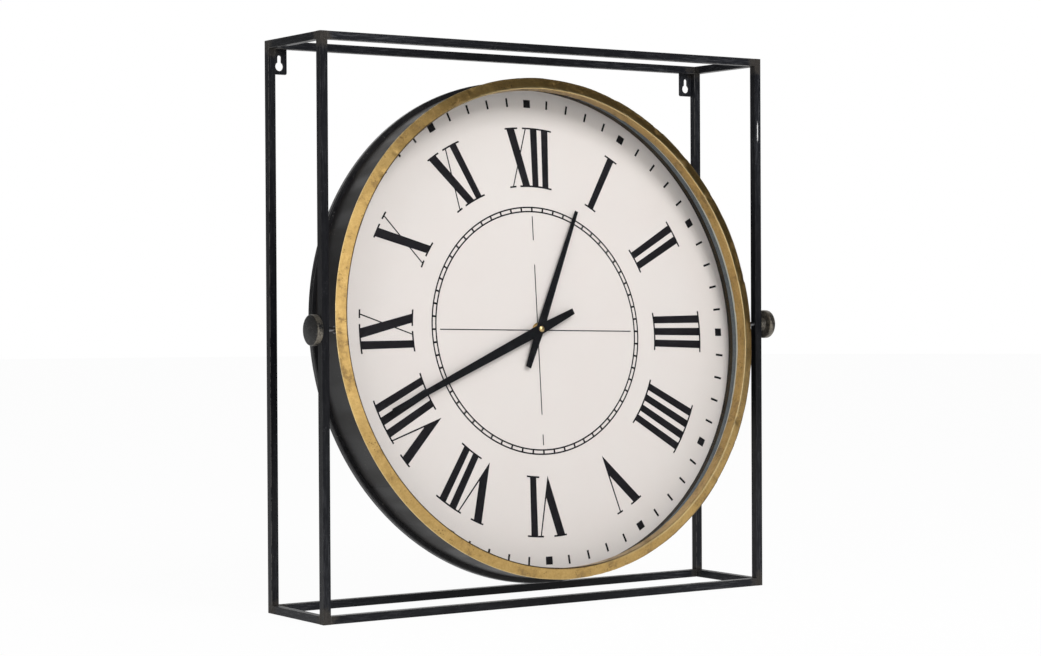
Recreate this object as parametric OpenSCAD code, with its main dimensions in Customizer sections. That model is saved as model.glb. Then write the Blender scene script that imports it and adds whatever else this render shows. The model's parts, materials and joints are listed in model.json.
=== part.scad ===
// Swivel clock: a glazed round clock head that tilts on two clamp knobs inside a box of square bars.
// Millimetres. The dial faces -Y, the right side as seen from the front is +X, and +Z is up.
// The origin is on the standing surface, straight below the middle of the tilt axis.

/* [Frame] */
// Side of the square bar
bar = 9; // [8:0.5:14]
// Depth of the box from the front face to the back face
frame_d = 127; // [100:1:200]
// Free space between the swinging head and the bottom rails
gap_below = 13; // [6:0.5:60]
// Free space between the swinging head and the top rails
gap_above = 17; // [6:0.5:60]
// Free space between the rear rim of the head and each post
gap_side = 4.5; // [4:0.5:20]

/* [Hanger tabs] */
// Width of a hanger tab
tab_w = 18; // [16:0.5:26]
// Height of a hanger tab below the top rail
tab_h = 28; // [26:0.5:40]
// Thickness of a hanger tab
tab_t = 2; // [1.5:0.1:4]
// Corner radius of a hanger tab
tab_corner_r = 2; // [1:0.5:4]
// Distance from the side of the tab at the post to the keyhole
keyhole_in = 8.7; // [7.5:0.1:10]
// Distance from the top rail down to the middle of the keyhole's head hole
keyhole_down = 19; // [18:0.5:20]
// Radius of the keyhole's head hole
keyhole_r = 5; // [4:0.25:5.5]
// Half the width of the keyhole's slot
slot_r = 2.5; // [1.5:0.25:3]
// Distance from the head hole's middle up to the slot's end
slot_up = 12.5; // [10:0.5:14]

/* [Tilt axis] */
// Tilt of the head, top backwards, in degrees
head_tilt = 6.3; // [0:0.1:30]
// Radius of the pivot stud
stud_r = 2; // [1.5:0.1:2.5]
// Radial running clearance round the stud
stud_clear = 0.08; // [0.05:0.01:0.1]
// How far the stud runs past the nut inside the drum
stud_past = 0.8; // [0.5:0.1:1.5]
// Wall of the spacer sleeve on the stud
sleeve_wall = 0.75; // [0.6:0.05:1.5]
// Radius of the washer against the drum
pivot_washer_r = 4.4; // [3.6:0.1:6]
// Thickness of the washer against the drum
pivot_washer_t = 1.5; // [0.8:0.1:2]
// Distance across the flats of the nut inside the drum
pivot_nut_af = 7; // [6.5:0.1:9]
// Thickness of the nut inside the drum
pivot_nut_t = 3.2; // [2:0.1:4]
// End play left between a clamped piece and the post
clamp_gap = 0.3; // [0.2:0.05:0.5]

/* [Clamp knobs] */
// Radius of a knob
knob_r = 17; // [12:0.5:24]
// Thickness of a knob's disc
knob_t = 8; // [6:0.5:12]
// Length of a knob's neck
knob_neck = 4.2; // [3:0.1:8]
// Radius of a knob's neck at the post
neck_r = 5; // [4:0.25:8]
// Radius of a knob's neck where it meets the disc
neck_flare_r = 8; // [6:0.25:11]
// Rounding of a knob's edge
knob_edge_r = 1.8; // [1:0.1:2.5]
// Height of the dome on a knob's face
knob_dome = 0.8; // [0.4:0.1:1.5]
// How deep the stud sits in a knob
stud_in_knob = 9; // [6:0.5:9]

/* [Drum] */
// Outer radius of the drum's side band
drum_r = 285.8; // [240:0.1:340]
// Thickness of the drum's sheet
sheet = 1.2; // [0.8:0.1:2]
// How far the rear rim stands out from the band
rim_proud = 5.7; // [3:0.1:10]
// Width of the rear rim along the drum's axis
rim_w = 7.5; // [4:0.1:12]
// Rounding of the rear rim's edges
rim_edge_r = 1.4; // [0.8:0.1:1.9]
// Width of the drum's rear lip
lip_w = 12; // [10:0.5:20]
// Free play of the loose pieces inside the drum
slip = 0.3; // [0.2:0.05:0.5]

/* [Bezel and glass] */
// Space between the pivot washer and the bezel's outer lip
lip_gap = 0.3; // [0.2:0.05:1]
// Space between the pivot nut and the glass
glass_gap = 1.6; // [0.5:0.1:3]
// Width of the bezel's face
bezel_w = 14.1; // [9:0.1:18]
// Extra width of the bezel's outer lip beyond the metal's thickness
bezel_proud = 2.2; // [0:0.1:4]
// How far the bezel's face falls back from its crest to its edge
bezel_fall = 2.7; // [1:0.1:3]
// Thickness of the bezel's metal
bezel_t = 1.2; // [1:0.1:2]
// Rounding of the bezel's crest
crest_r = 0.9; // [0.6:0.05:1]
// Depth of the bezel's outer lip
bezel_lip = 1.8; // [1.4:0.1:2.4]
// Thickness of the glass
glass_t = 2.5; // [2:0.1:4]
// Depth of the soft seal behind the glass
seal_d = 15; // [6:0.1:18]
// Thickness of the seal and of the two spacer rings
ring_t = 3.6; // [2:0.1:4]
// Depth of the spacer ring in front of the dial
spacer_d = 8; // [5:0.1:15]

/* [Dial] */
// Thickness of the dial
dial_t = 2; // [1:0.1:4]
// Clockwise turn of the dial and movement in the drum, in degrees
dial_turn = 1.2; // [-3:0.1:3]
// Thickness of the printed ink
ink_t = 0.12; // [0.1:0.01:0.2]
// Space between the bezel's inner wall and the minute track
track_edge = 3.4; // [2:0.1:20]
// Space between the minute track and the numerals
numeral_edge = 23.4; // [4:0.1:30]
// Height of the numerals
numeral_h = 70; // [50:1:80]
// Width of a numeral's upright stroke
stem_w = 8.8; // [6:0.1:10]
// Width of a numeral's slanting thick stroke
slant_w = 10.2; // [7:0.1:12]
// Width of a numeral's thin stroke
hair_w = 1.5; // [0.8:0.1:2]
// Thickness of the serifs
serif_t = 2; // [1.2:0.1:3]
// How far a serif runs past its stroke
serif_out = 4.6; // [3:0.1:5]
// Space between neighbouring upright strokes
stroke_gap = 5.9; // [5:0.1:7]
// Space between an upright stroke and a V or an X beside it
slant_gap = 3; // [2:0.1:6]
// Width of the letter X
x_span = 29; // [26:0.5:34]
// Width of the letter V
v_span = 33.5; // [28:0.5:36]
// How much wider a numeral is at its outer end than at its inner end, as a share of its width
numeral_fan = 0.11; // [0:0.01:0.2]
// How far the numerals sit to the right of the dial's middle
numerals_right = -0.9; // [-2:0.1:2]
// How far the numerals sit above the dial's middle
numerals_up = -1.6; // [-2:0.1:2]
// Turn of the numerals against the minute track, anticlockwise in degrees
numerals_turn = 0.3; // [-1:0.1:1]
// Length of a minute mark
minute_l = 10.3; // [6:0.1:12]
// Width of a minute mark
minute_w = 2.6; // [1:0.1:3]
// Side of a five-minute square
square_a = 9.2; // [6:0.1:10]
// How far the squares' middles lie inside the minute marks' middles
square_in = 1.3; // [0:0.1:3]
// How far the minute track and the lines sit to the right of the dial's middle
print_right = -0.5; // [-2:0.1:2]
// How far the minute track and the lines sit above the dial's middle
print_up = -0.8; // [-2:0.1:2]
// Space between the numerals and the chapter ring
chapter_edge = 23.8; // [10:0.2:40]
// Width of the chapter ring
chapter_w = 6.6; // [5:0.1:9]
// Line width of the chapter ring
chapter_line = 1.7; // [1:0.1:2]
// Width of the chapter ring's crossbars
chapter_bar_w = 2.2; // [1:0.1:3]
// Line width of the crosshair
cross_line = 1.2; // [0.8:0.1:2]
// Space left between the crosshair and the chapter ring
cross_short = 4.6; // [3:0.1:10]
// Length of the crosshair's upper line outside its bare stretch
upper_outer_l = 28; // [10:1:40]
// Length of the bare stretch of the crosshair's upper line
upper_gap_l = 28.5; // [5:0.5:40]
// Length of the crosshair's lower line outside its bare stretch
lower_outer_l = 12.4; // [5:0.1:40]
// Length of the bare stretch of the crosshair's lower line
lower_gap_l = 22.9; // [5:0.1:40]

/* [Hands] */
// Hour that the hands show
shown_hour = 12; // [1:1:12]
// Minute that the hands show
shown_minute = 40.9; // [0:0.1:59.9]
// How far the hour hand is set ahead of its true place, in degrees
hour_ahead = 2.8; // [-4:0.1:4]
// Thickness of the hands' sheet
hand_t = 0.8; // [0.6:0.1:1]
// How far the hour hand's tip runs past the chapter ring's outer edge
hour_past = 7.7; // [0:0.1:20]
// Length of the hour hand's tail
hour_tail = 48; // [30:1:60]
// Width of the hour hand at its hub
hour_w = 10.5; // [8:0.1:13]
// Width of the hour hand's tip
hour_tip_w = 4.3; // [3:0.1:6]
// How far the minute hand's tip stays inside the numerals' outer edge
minute_hand_short = 14.5; // [0:0.5:40]
// Length of the minute hand's tail
minute_tail = 51.5; // [30:0.5:60]
// Width of the minute hand at its hub
minute_hand_w = 11.8; // [8:0.1:14]
// Width of the minute hand's tip
minute_tip_w = 5.6; // [3:0.1:7]
// Width of both hands' tails at the end
tail_w = 7; // [5:0.1:9]
// Radius of the cap nut
cap_r = 3.4; // [3:0.1:5]
// Height of the cap nut
cap_h = 2.4; // [2:0.1:4]

/* [Movement] */
// Side of the square movement case
case_a = 56; // [54:0.5:64]
// Depth of the movement case
case_d = 16; // [16:0.1:20]
// Wall of the movement case
case_wall = 1.2; // [1.2:0.1:1.6]
// Distance from the hands' axis down to the middle of the case
case_drop = 5; // [4.5:0.1:6]
// Space between the case and the opening in the back cover
case_clear = 2; // [1:0.1:3]
// Thickness of the rubber washer behind the dial
rubber_t = 1; // [0.5:0.1:2]
// Radius of the rubber washer
rubber_r = 12; // [8:0.5:16]
// Radius of the movement's threaded bush
bush_r = 4; // [4:0.1:5]
// Radial clearance of the movement's running fits
fit_clear = 0.07; // [0.05:0.01:0.1]
// Radius of the brass washer on the dial
dial_washer_r = 8; // [7.5:0.1:10]
// Thickness of the brass washer on the dial
dial_washer_t = 0.5; // [0.4:0.1:1]
// Distance across the flats of the fixing nut
fixing_nut_af = 11.5; // [11.5:0.1:14]
// Thickness of the fixing nut
fixing_nut_t = 2.2; // [1.6:0.1:3]
// Outer radius of the hour tube
hour_tube_r = 2.5; // [2.4:0.05:2.6]
// Outer radius of the minute tube
minute_tube_r = 1.65; // [1.6:0.05:1.7]
// Radius of the second wheel's arbor
second_arbor_r = 0.6; // [0.5:0.05:0.7]
// Radius of the other arbors
arbor_r = 0.5; // [0.4:0.05:0.5]
// Thickness of every wheel and pinion
wheel_t = 0.8; // [0.6:0.05:0.9]
// Step from one layer of wheels to the next
layer_step = 1.3; // [1.2:0.05:1.35]
// Distance from the hands' axis to the third and the intermediate wheel's axes
train_a = 9; // [9:0.1:9.4]
// Distance from the intermediate wheel's axis to the rotor's axis
rotor_a = 8.75; // [8.5:0.05:9]
// Distance between the axes of the hand-setting wheels
setting_a = 9.6; // [9.4:0.05:9.8]
// Radius of a penlight battery
battery_r = 7.1; // [7:0.05:7.25]
// Length of a penlight battery without its cap
battery_l = 49; // [48:0.1:49.2]
// Radius of the setting knob
setting_knob_r = 5.2; // [4:0.1:5.5]
// Thickness of the setting knob
setting_knob_t = 2.4; // [2:0.1:3]

/* [Back cover] */
// Thickness of the back cover
cover_t = 1; // [0.8:0.1:1.5]
// Number of cover screws
cover_screws_n = 8; // [4:1:12]
// Shank radius of a cover screw
screw_r = 1.4; // [1.2:0.1:1.6]
// Head radius of a cover screw
screw_head_r = 3; // [2.6:0.1:3.5]
// Head height of a cover screw
screw_head_t = 1.4; // [1:0.1:1.6]

/* [Hidden] */
$fn = 96;

// Small overrun that lets a cutting tool pass clean through a face
over = 1;

// Colours
frame_colour = "#15171c";
drum_colour = "#3a3836";
rim_colour = "#111214";
bezel_colour = "#b49a5a";
dial_colour = "#ddd4d1";
ink_colour = "#1e1d1f";
brass_colour = "#b08d4a";
steel_colour = "#8d9094";
case_colour = "#202225";
wheel_colour = "#e7e2d6";

// Depths along the head's axis, measured from the tilt axis towards the viewer
crest_out = pivot_washer_r + lip_gap + bezel_lip + bezel_fall;
pivot_nut_r = pivot_nut_af / 2 / cos(30);
glass_n = -pivot_nut_r - glass_gap;
seal_n = glass_n - glass_t;
spacer_n = seal_n - seal_d;
dial_n = spacer_n - spacer_d;
dial_back_n = dial_n - dial_t;
case_n = dial_back_n - rubber_t;
rear_n = case_n - case_d;

// Radii of the head
bezel_r = drum_r + fit_clear + bezel_t + bezel_proud;
rim_r = drum_r + rim_proud;
drum_in_r = drum_r - sheet;
fill_r = drum_in_r - slip;
swing_r = sqrt(rim_r * rim_r + rear_n * rear_n);

// Radii of the dial's printing
track_out = bezel_r - bezel_w - track_edge;
track_r = track_out - minute_l / 2;
numeral_out = track_out - minute_l - numeral_edge;
numeral_in = numeral_out - numeral_h;
chapter_r = numeral_in - chapter_edge;
cross_r = chapter_r - chapter_w - cross_short;
hour_l = chapter_r + hour_past;
minute_hand_l = numeral_out - minute_hand_short;

// Frame, worked out from the head that swings inside it
post_in = rim_r + gap_side;
frame_half_w = post_in + bar;
rail_l = 2 * post_in;
pivot_z = bar + gap_below + swing_r;
frame_h = pivot_z + swing_r + gap_above + bar;
back_y = frame_d - bar;
side_l = frame_d - 2 * bar;
stud_bore_r = stud_r + stud_clear;

// Cover and lip at the back of the drum
cover_n = rear_n + screw_head_t;
lip_n = cover_n + cover_t;
cover_r = drum_in_r - slip;
lip_in_r = drum_in_r - lip_w;
screw_ring_r = drum_in_r - lip_w / 2;
screw_past = 2;
screw_l = cover_t + sheet + screw_past;

// Stack of the hands on the dial's front
bush_past = 0.4;
hand_gap = 0.8;
hands_apart = 1.2;
nut_n = dial_n + dial_washer_t;
bush_n = nut_n + fixing_nut_t + bush_past;
hour_hand_n = bush_n + hand_gap;
minute_hand_n = hour_hand_n + hand_t + hands_apart;
cap_n = minute_hand_n + hand_t;
cap_dome = 1;
arbor_in_cap = 1;
cap_play = 0.3;
bush_bore_r = hour_tube_r + fit_clear;
hour_bore_r = minute_tube_r + fit_clear;
minute_bore_r = second_arbor_r + fit_clear;
pivot_hole_r = arbor_r + fit_clear;

// Hand angles, clockwise from twelve
minute_angle = 6 * shown_minute;
hour_angle = 30 * shown_hour + shown_minute / 2 + hour_ahead;

// A tooth's shape: half its width at root and tip in pitches, and its depths in modules
tooth_root = 0.31;
tooth_tip = 0.13;
tooth_in = 1.05;
tooth_out = 0.75;

// Teeth of the going train and of the hand-setting work
rotor_z = 10;
intermediate_z = 60;
intermediate_pinion_z = 10;
second_z = 50;
second_pinion_z = 8;
third_z = 64;
third_pinion_z = 8;
centre_z = 60;
cannon_z = 12;
minute_z = 36;
minute_pinion_z = 10;
hour_z = 40;
setting_z = 12;

// Directions and axes of the wheels round the hands' axis
third_dir = 180;
intermediate_dir = 60;
rotor_dir = 30;
minute_dir = 320;
setting_dir = 0;
third_at = polar(train_a, third_dir);
intermediate_at = polar(train_a, intermediate_dir);
rotor_at = intermediate_at + polar(rotor_a, rotor_dir);
minute_at = polar(setting_a, minute_dir);
setting_at = minute_at + polar(setting_a, setting_dir);

// Modules of the meshing pairs
rotor_m = pair_module(rotor_a, rotor_z, intermediate_z);
second_m = pair_module(train_a, intermediate_pinion_z, second_z);
third_m = pair_module(train_a, second_pinion_z, third_z);
centre_m = pair_module(train_a, third_pinion_z, centre_z);
cannon_m = pair_module(setting_a, cannon_z, minute_z);
hour_m = pair_module(setting_a, minute_pinion_z, hour_z);

// Layers of wheels, counted from the dial side
front_in_n = case_n - case_wall;
rear_in_n = rear_n + case_wall;
first_layer_gap = 0.8;
pivot_depth = 0.8;
pivot_play = 0.1;
intermediate_hub_r = 0.9;
second_hub_r = 0.72;
arbor_front_n = front_in_n + pivot_depth - pivot_play;
arbor_rear_n = rear_in_n - pivot_depth + pivot_play;

// Battery bay across the bottom of the case
case_top_v = case_a / 2 - case_drop;
case_bottom_v = -case_a / 2 - case_drop;
bay_play_below = 0.6;
bay_play_above = 0.4;
bay_play_front = 0.2;
battery_v = case_bottom_v + case_wall + bay_play_below + battery_r;
bay_wall_v = battery_v + battery_r + bay_play_above;
battery_n = front_in_n - bay_play_front - battery_r;
contact_t = 0.4;
contact_w = 9;
contact_h = 10;
contact_u = case_a / 2 - case_wall - contact_t;
contact_bump = 0.8;
contact_bump_r = 2.2;
battery_cap_l = contact_u * 2 - battery_l - contact_bump;
battery_cap_r = 2.6;

// Motor
magnet_r = 2.2;
magnet_t = 1.6;
stator_t = 0.8;
stator_gap = 0.4;
stator_body = 3.6;
stator_leg = 1.6;
stator_w = 20;
stator_h = 7.6;
stator_side = 3;
stator_up = 3.6;
stator_n = arbor_rear_n + stator_up;
coil_r = 2.4;
coil_l = 12;
coil_play = 0.1;
board_w = 17;
board_h = 13;
board_t = 1;
board_gap = 1;
board_post_in = 2.5;
board_at = [
    case_wall + board_gap - case_a / 2,
    case_top_v - case_wall - board_gap - board_h
];
standoff_r = 1.3;

// Pocket for the setting knob in the back of the case
pocket_clear = 0.8;
pocket_sink = 0.4;
pocket_r = setting_knob_r + pocket_clear;
pocket_d = setting_knob_t + pocket_sink;

function polar(r, a) = [r * cos(a), r * sin(a)];
function layer_n(k) = front_in_n - first_layer_gap - wheel_t - (k - 1) * layer_step;
function pair_module(a, z1, z2) = 2 * a / (z1 + z2);

// Turn that puts a tooth gap opposite a tooth of the wheel that lies against direction dir
function facing(dir, z) = dir + 180 + 180 / z;

// A toothed outline: each tooth is a trapezium whose root and tip lie about the pitch circle
function tooth_points(z, m, turn) = [
    for (k = [0 : z - 1])
        for (p = [
            [-tooth_root, -tooth_in], [-tooth_tip, tooth_out],
            [tooth_tip, tooth_out], [tooth_root, -tooth_in]
        ])
            polar(m * z / 2 + p[1] * m, turn + 360 * (k + p[0]) / z)
];

// Head frame: X to the right, Y up the dial and Z out of the dial, centred on the tilt axis
module in_head() {
    translate([0, 0, pivot_z]) rotate([90 - head_tilt, 0, 0]) children();
}

// The dial and all that turns with it sit in the head with a small twist
module on_dial() {
    in_head() rotate([0, 0, -dial_turn]) children();
}

// A ring about the head's axis, from its rear face at n and thick by t
module ring(r_out, r_in, n, t) {
    translate([0, 0, n]) difference() {
        cylinder(h = t, r = r_out, $fn = 180);
        translate([0, 0, -over]) cylinder(h = t + 2 * over, r = r_in, $fn = 180);
    }
}

// A wheel or pinion with its rear face at n
module gear(z, m, turn, n, at = [0, 0]) {
    translate([at[0], at[1], n])
        linear_extrude(wheel_t) polygon(tooth_points(z, m, turn));
}

// An arbor from its rear end n1 to its front end n2
module arbor(r, n1, n2, at = [0, 0]) {
    translate([at[0], at[1], n1]) cylinder(h = n2 - n1, r = r, $fn = 32);
}

// Frame bars
module post(x, y, bored) {
    color(frame_colour) difference() {
        translate([x - bar / 2, y - bar / 2, 0]) cube([bar, bar, frame_h]);
        if (bored)
            translate([x - bar / 2 - over, y, pivot_z])
                rotate([0, 90, 0]) cylinder(h = bar + 2 * over, r = stud_bore_r, $fn = 48);
    }
}

module rail(y, z) {
    color(frame_colour) translate([-rail_l / 2, y - bar / 2, z]) cube([rail_l, bar, bar]);
}

module side_bar(side, z) {
    color(frame_colour)
        translate([side * (frame_half_w - bar / 2) - bar / 2, bar / 2, z]) cube([bar, side_l, bar]);
}

module front_left_post() { post(-frame_half_w + bar / 2, 0, true); }
module front_right_post() { post(frame_half_w - bar / 2, 0, true); }
module back_left_post() { post(-frame_half_w + bar / 2, back_y, false); }
module back_right_post() { post(frame_half_w - bar / 2, back_y, false); }
module front_top_rail() { rail(0, frame_h - bar); }
module front_bottom_rail() { rail(0, 0); }
module back_top_rail() { rail(back_y, frame_h - bar); }
module back_bottom_rail() { rail(back_y, 0); }
module left_top_bar() { side_bar(-1, frame_h - bar); }
module left_bottom_bar() { side_bar(-1, 0); }
module right_top_bar() { side_bar(1, frame_h - bar); }
module right_bottom_bar() { side_bar(1, 0); }

// Hanger tab with a keyhole, drawn for the right side with its post edge at x = 0
module tab_plate() {
    difference() {
        union() {
            translate([-tab_w, 0, tab_corner_r - tab_h]) cube([tab_w, tab_t, tab_h - tab_corner_r]);
            translate([tab_corner_r - tab_w, 0, -tab_h]) cube([tab_w - tab_corner_r, tab_t, tab_h]);
            translate([tab_corner_r - tab_w, tab_t, tab_corner_r - tab_h])
                rotate([90, 0, 0]) cylinder(h = tab_t, r = tab_corner_r, $fn = 48);
        }
        translate([-keyhole_in, 0, -keyhole_down]) keyhole_cut();
    }
}

module keyhole_cut() {
    slot_top = slot_up - slot_r;
    translate([0, tab_t + over, 0]) rotate([90, 0, 0]) {
        cylinder(h = tab_t + 2 * over, r = keyhole_r, $fn = 64);
        translate([0, slot_top, 0]) cylinder(h = tab_t + 2 * over, r = slot_r, $fn = 48);
        translate([-slot_r, 0, 0]) cube([2 * slot_r, slot_top, tab_t + 2 * over]);
    }
}

module right_hanger_tab() {
    color(frame_colour)
        translate([post_in, back_y + bar / 2 - tab_t, frame_h - bar]) tab_plate();
}

module left_hanger_tab() {
    color(frame_colour)
        translate([-post_in, back_y + bar / 2 - tab_t, frame_h - bar]) mirror([1, 0, 0]) tab_plate();
}

// Clamp knobs and studs, drawn along +Z outwards from the post's outer face
module clamp_axis(side) {
    translate([side * frame_half_w, 0, pivot_z]) rotate([0, side * 90, 0]) children();
}

// A disc with rounded edges, standing on z = 0
module round_disc(r, t, edge) {
    translate([0, 0, edge]) cylinder(h = t - 2 * edge, r = r);
    cylinder(h = t, r = r - edge);
    for (z = [edge, t - edge])
        translate([0, 0, z]) rotate_extrude() translate([r - edge, 0]) circle(r = edge, $fn = 48);
}

module knob() {
    dome_base_r = knob_r - knob_edge_r;
    dome_r = (dome_base_r * dome_base_r + knob_dome * knob_dome) / (2 * knob_dome);
    difference() {
        union() {
            translate([0, 0, clamp_gap])
                cylinder(h = knob_neck - clamp_gap, r1 = neck_r, r2 = neck_flare_r);
            translate([0, 0, knob_neck]) round_disc(knob_r, knob_t, knob_edge_r);
            intersection() {
                translate([0, 0, knob_neck]) cylinder(h = knob_t + knob_dome, r = dome_base_r);
                translate([0, 0, knob_neck + knob_t + knob_dome - dome_r])
                    sphere(r = dome_r, $fn = 180);
            }
        }
        cylinder(h = stud_in_knob, r = stud_r, $fn = 48);
    }
}

module stud() {
    inner_end = frame_half_w - drum_in_r + pivot_nut_t + stud_past;
    translate([0, 0, -inner_end]) cylinder(h = inner_end + stud_in_knob, r = stud_r, $fn = 48);
}

module left_knob() { color(rim_colour) clamp_axis(-1) knob(); }
module right_knob() { color(rim_colour) clamp_axis(1) knob(); }
module left_stud() { color(steel_colour) clamp_axis(-1) stud(); }
module right_stud() { color(steel_colour) clamp_axis(1) stud(); }

// Sleeve, washer and nut of one pivot lie along X, with their outer ends at distance x from the middle
module pivot_ring(side, x, t, r) {
    translate([0, 0, pivot_z]) rotate([0, side * 90, 0]) translate([0, 0, x - t]) difference() {
        cylinder(h = t, r = r, $fn = 64);
        translate([0, 0, -over]) cylinder(h = t + 2 * over, r = stud_bore_r, $fn = 48);
    }
}

module pivot_spacers() {
    outer = post_in - clamp_gap;
    color(steel_colour) for (side = [-1, 1])
        pivot_ring(side, outer, outer - drum_r - pivot_washer_t, stud_bore_r + sleeve_wall);
}

module pivot_washers() {
    color(steel_colour) for (side = [-1, 1])
        pivot_ring(side, drum_r + pivot_washer_t, pivot_washer_t, pivot_washer_r);
}

// The nuts lie flat against a small step inside the band's curve
module pivot_nuts() {
    nut_out = sqrt(drum_in_r * drum_in_r - pivot_nut_r * pivot_nut_r);
    color(steel_colour) for (side = [-1, 1]) in_head() rotate([0, side * 90, 0])
        translate([0, 0, nut_out - pivot_nut_t]) difference() {
            cylinder(h = pivot_nut_t, r = pivot_nut_r, $fn = 6);
            translate([0, 0, -over])
                cylinder(h = pivot_nut_t + 2 * over, r = stud_bore_r, $fn = 48);
        }
}

// Drum band with its rear lip and the two pivot holes
module drum_band() {
    band_front = crest_out - bezel_fall - bezel_t;
    color(drum_colour) in_head() difference() {
        union() {
            ring(drum_r, drum_in_r, rear_n, band_front - rear_n);
            ring(drum_in_r + sheet / 2, lip_in_r, lip_n, sheet);
        }
        rotate([0, 90, 0]) translate([0, 0, -drum_r - over])
            cylinder(h = 2 * drum_r + 2 * over, r = stud_bore_r, $fn = 48);
        for (k = [0 : cover_screws_n - 1])
            rotate([0, 0, 360 * (k + 0.5) / cover_screws_n])
                translate([screw_ring_r, 0, lip_n - over])
                    cylinder(h = sheet + 2 * over, r = screw_r + fit_clear, $fn = 32);
    }
}

// Rolled rim at the rear of the band
module rear_rim() {
    in_r = drum_r + fit_clear;
    color(rim_colour) in_head() translate([0, 0, rear_n]) rotate_extrude($fn = 180) {
        translate([in_r, 0]) square([rim_r - in_r - rim_edge_r, rim_w]);
        translate([in_r, rim_edge_r]) square([rim_r - in_r, rim_w - 2 * rim_edge_r]);
        for (n = [rim_edge_r, rim_w - rim_edge_r])
            translate([rim_r - rim_edge_r, n]) circle(r = rim_edge_r, $fn = 48);
    }
}

// Back cover with an opening for the movement
module back_cover() {
    hole_a = case_a + 2 * case_clear;
    color(rim_colour) in_head() difference() {
        translate([0, 0, cover_n]) cylinder(h = cover_t, r = cover_r, $fn = 180);
        rotate([0, 0, -dial_turn]) translate([-hole_a / 2, -case_drop - hole_a / 2, cover_n - over])
            cube([hole_a, hole_a, cover_t + 2 * over]);
        for (k = [0 : cover_screws_n - 1])
            rotate([0, 0, 360 * (k + 0.5) / cover_screws_n])
                translate([screw_ring_r, 0, cover_n - over])
                    cylinder(h = cover_t + 2 * over, r = screw_r + slip, $fn = 32);
    }
}

module cover_screws() {
    color(steel_colour) in_head() for (k = [0 : cover_screws_n - 1])
        rotate([0, 0, 360 * (k + 0.5) / cover_screws_n]) translate([screw_ring_r, 0, 0]) {
            translate([0, 0, rear_n]) cylinder(h = screw_head_t, r = screw_head_r, $fn = 48);
            translate([0, 0, cover_n]) cylinder(h = screw_l, r = screw_r, $fn = 32);
        }
}

// Bezel: a sloping face, a short outer lip over the band and a deep inner wall down to the glass
module bezel() {
    in_r = bezel_r - bezel_w;
    lip_r = drum_r + fit_clear;
    edge_n = crest_out - bezel_fall;
    slope = atan(bezel_fall / bezel_w);
    crest = [in_r + crest_r, crest_out - crest_r * (tan(slope) + 1 / cos(slope))];
    color(bezel_colour) in_head() rotate_extrude($fn = 180) {
        polygon([
            [in_r, glass_n], [in_r + bezel_t, glass_n], [in_r + bezel_t, crest_out - 2 * bezel_t],
            [lip_r, edge_n - bezel_t], [lip_r, edge_n - bezel_lip],
            [bezel_r, edge_n - bezel_lip], [bezel_r, edge_n],
            crest + polar(crest_r, 90 - slope), [in_r, crest[1]]
        ]);
        translate(crest) circle(r = crest_r, $fn = 48);
    }
}

module glass() {
    color([0.8, 0.88, 0.9, 0.35]) in_head()
        translate([0, 0, seal_n]) cylinder(h = glass_t, r = fill_r, $fn = 180);
}

module glass_seal() { color("#5d666c") in_head() ring(fill_r, fill_r - ring_t, spacer_n, seal_d); }
module dial_spacer() { color(rim_colour) in_head() ring(fill_r, fill_r - ring_t, dial_n, spacer_d); }
module rear_spacer() {
    front = dial_back_n - fit_clear;
    rear = lip_n + sheet;
    color(rim_colour) in_head() ring(fill_r, fill_r - ring_t, rear, front - rear);
}

// Dial plate and its printing
module dial() {
    color(dial_colour) on_dial() translate([0, 0, dial_back_n]) difference() {
        cylinder(h = dial_t, r = fill_r, $fn = 180);
        translate([0, 0, -over]) cylinder(h = dial_t + 2 * over, r = bush_r + slip, $fn = 64);
    }
}

// Point of a numeral, x across it and t from 0 at its feet to 1 at its top
function fanned(x, t) = [x * (1 + numeral_fan * (t - 0.5)), numeral_in + t * numeral_h];

// A straight stroke of a numeral from x1 at the feet to x2 at the top, as wide as w across
module stroke(x1, x2, w) {
    past = 0.1;
    more = past * (x2 - x1);
    polygon([
        fanned(x1 - more - w / 2, -past), fanned(x1 - more + w / 2, -past),
        fanned(x2 + more + w / 2, 1 + past), fanned(x2 + more - w / 2, 1 + past)
    ]);
}

// A serif that follows a circle, from x1 to x2, at the feet for t = 0 and at the top for t = 1
module serif(x1, x2, t) {
    r_out = t == 1 ? numeral_out : numeral_in + serif_t;
    ends = [fanned(x1, t)[0], fanned(x2, t)[0]];
    intersection() {
        difference() {
            circle(r = r_out, $fn = 180);
            circle(r = r_out - serif_t, $fn = 180);
        }
        translate([ends[0], 0]) square([ends[1] - ends[0], r_out + over]);
    }
}

// Widths and letter starts of a numeral written as a string of I, V and X
function glyph_w(c) = c == "I" ? stem_w : c == "X" ? x_span : v_span;
function gap_after(s, k) = s[k] == "I" && s[k + 1] == "I" ? stroke_gap : slant_gap;
function glyph_start(s, k) =
    k == 0 ? 0 : glyph_start(s, k - 1) + glyph_w(s[k - 1]) + gap_after(s, k - 1);
function numeral_w(s) = glyph_start(s, len(s) - 1) + glyph_w(s[len(s) - 1]);

// Width straight across a letter of the thick stroke that slants by the given run
function wide(run) = slant_w / cos(atan(run / numeral_h));

module letter_i(x) {
    middle = x + stem_w / 2;
    stroke(middle, middle, stem_w);
    for (t = [0, 1]) serif(x - serif_out, x + stem_w + serif_out, t);
}

module letter_x(x) {
    right = x + x_span;
    thick = wide(x_span - slant_w);
    hair_foot = x + 3.4;
    hair_top = right - 3;
    stroke(right - thick / 2, x + thick / 2, thick);
    stroke(hair_foot, hair_top, hair_w);
    serif(x - serif_out / 3, x + thick + serif_out, 1);
    serif(hair_top - serif_out, hair_top + serif_out, 1);
    serif(right - thick - serif_out, right + serif_out, 0);
    serif(hair_foot - serif_out, hair_foot + serif_out, 0);
}

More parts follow.
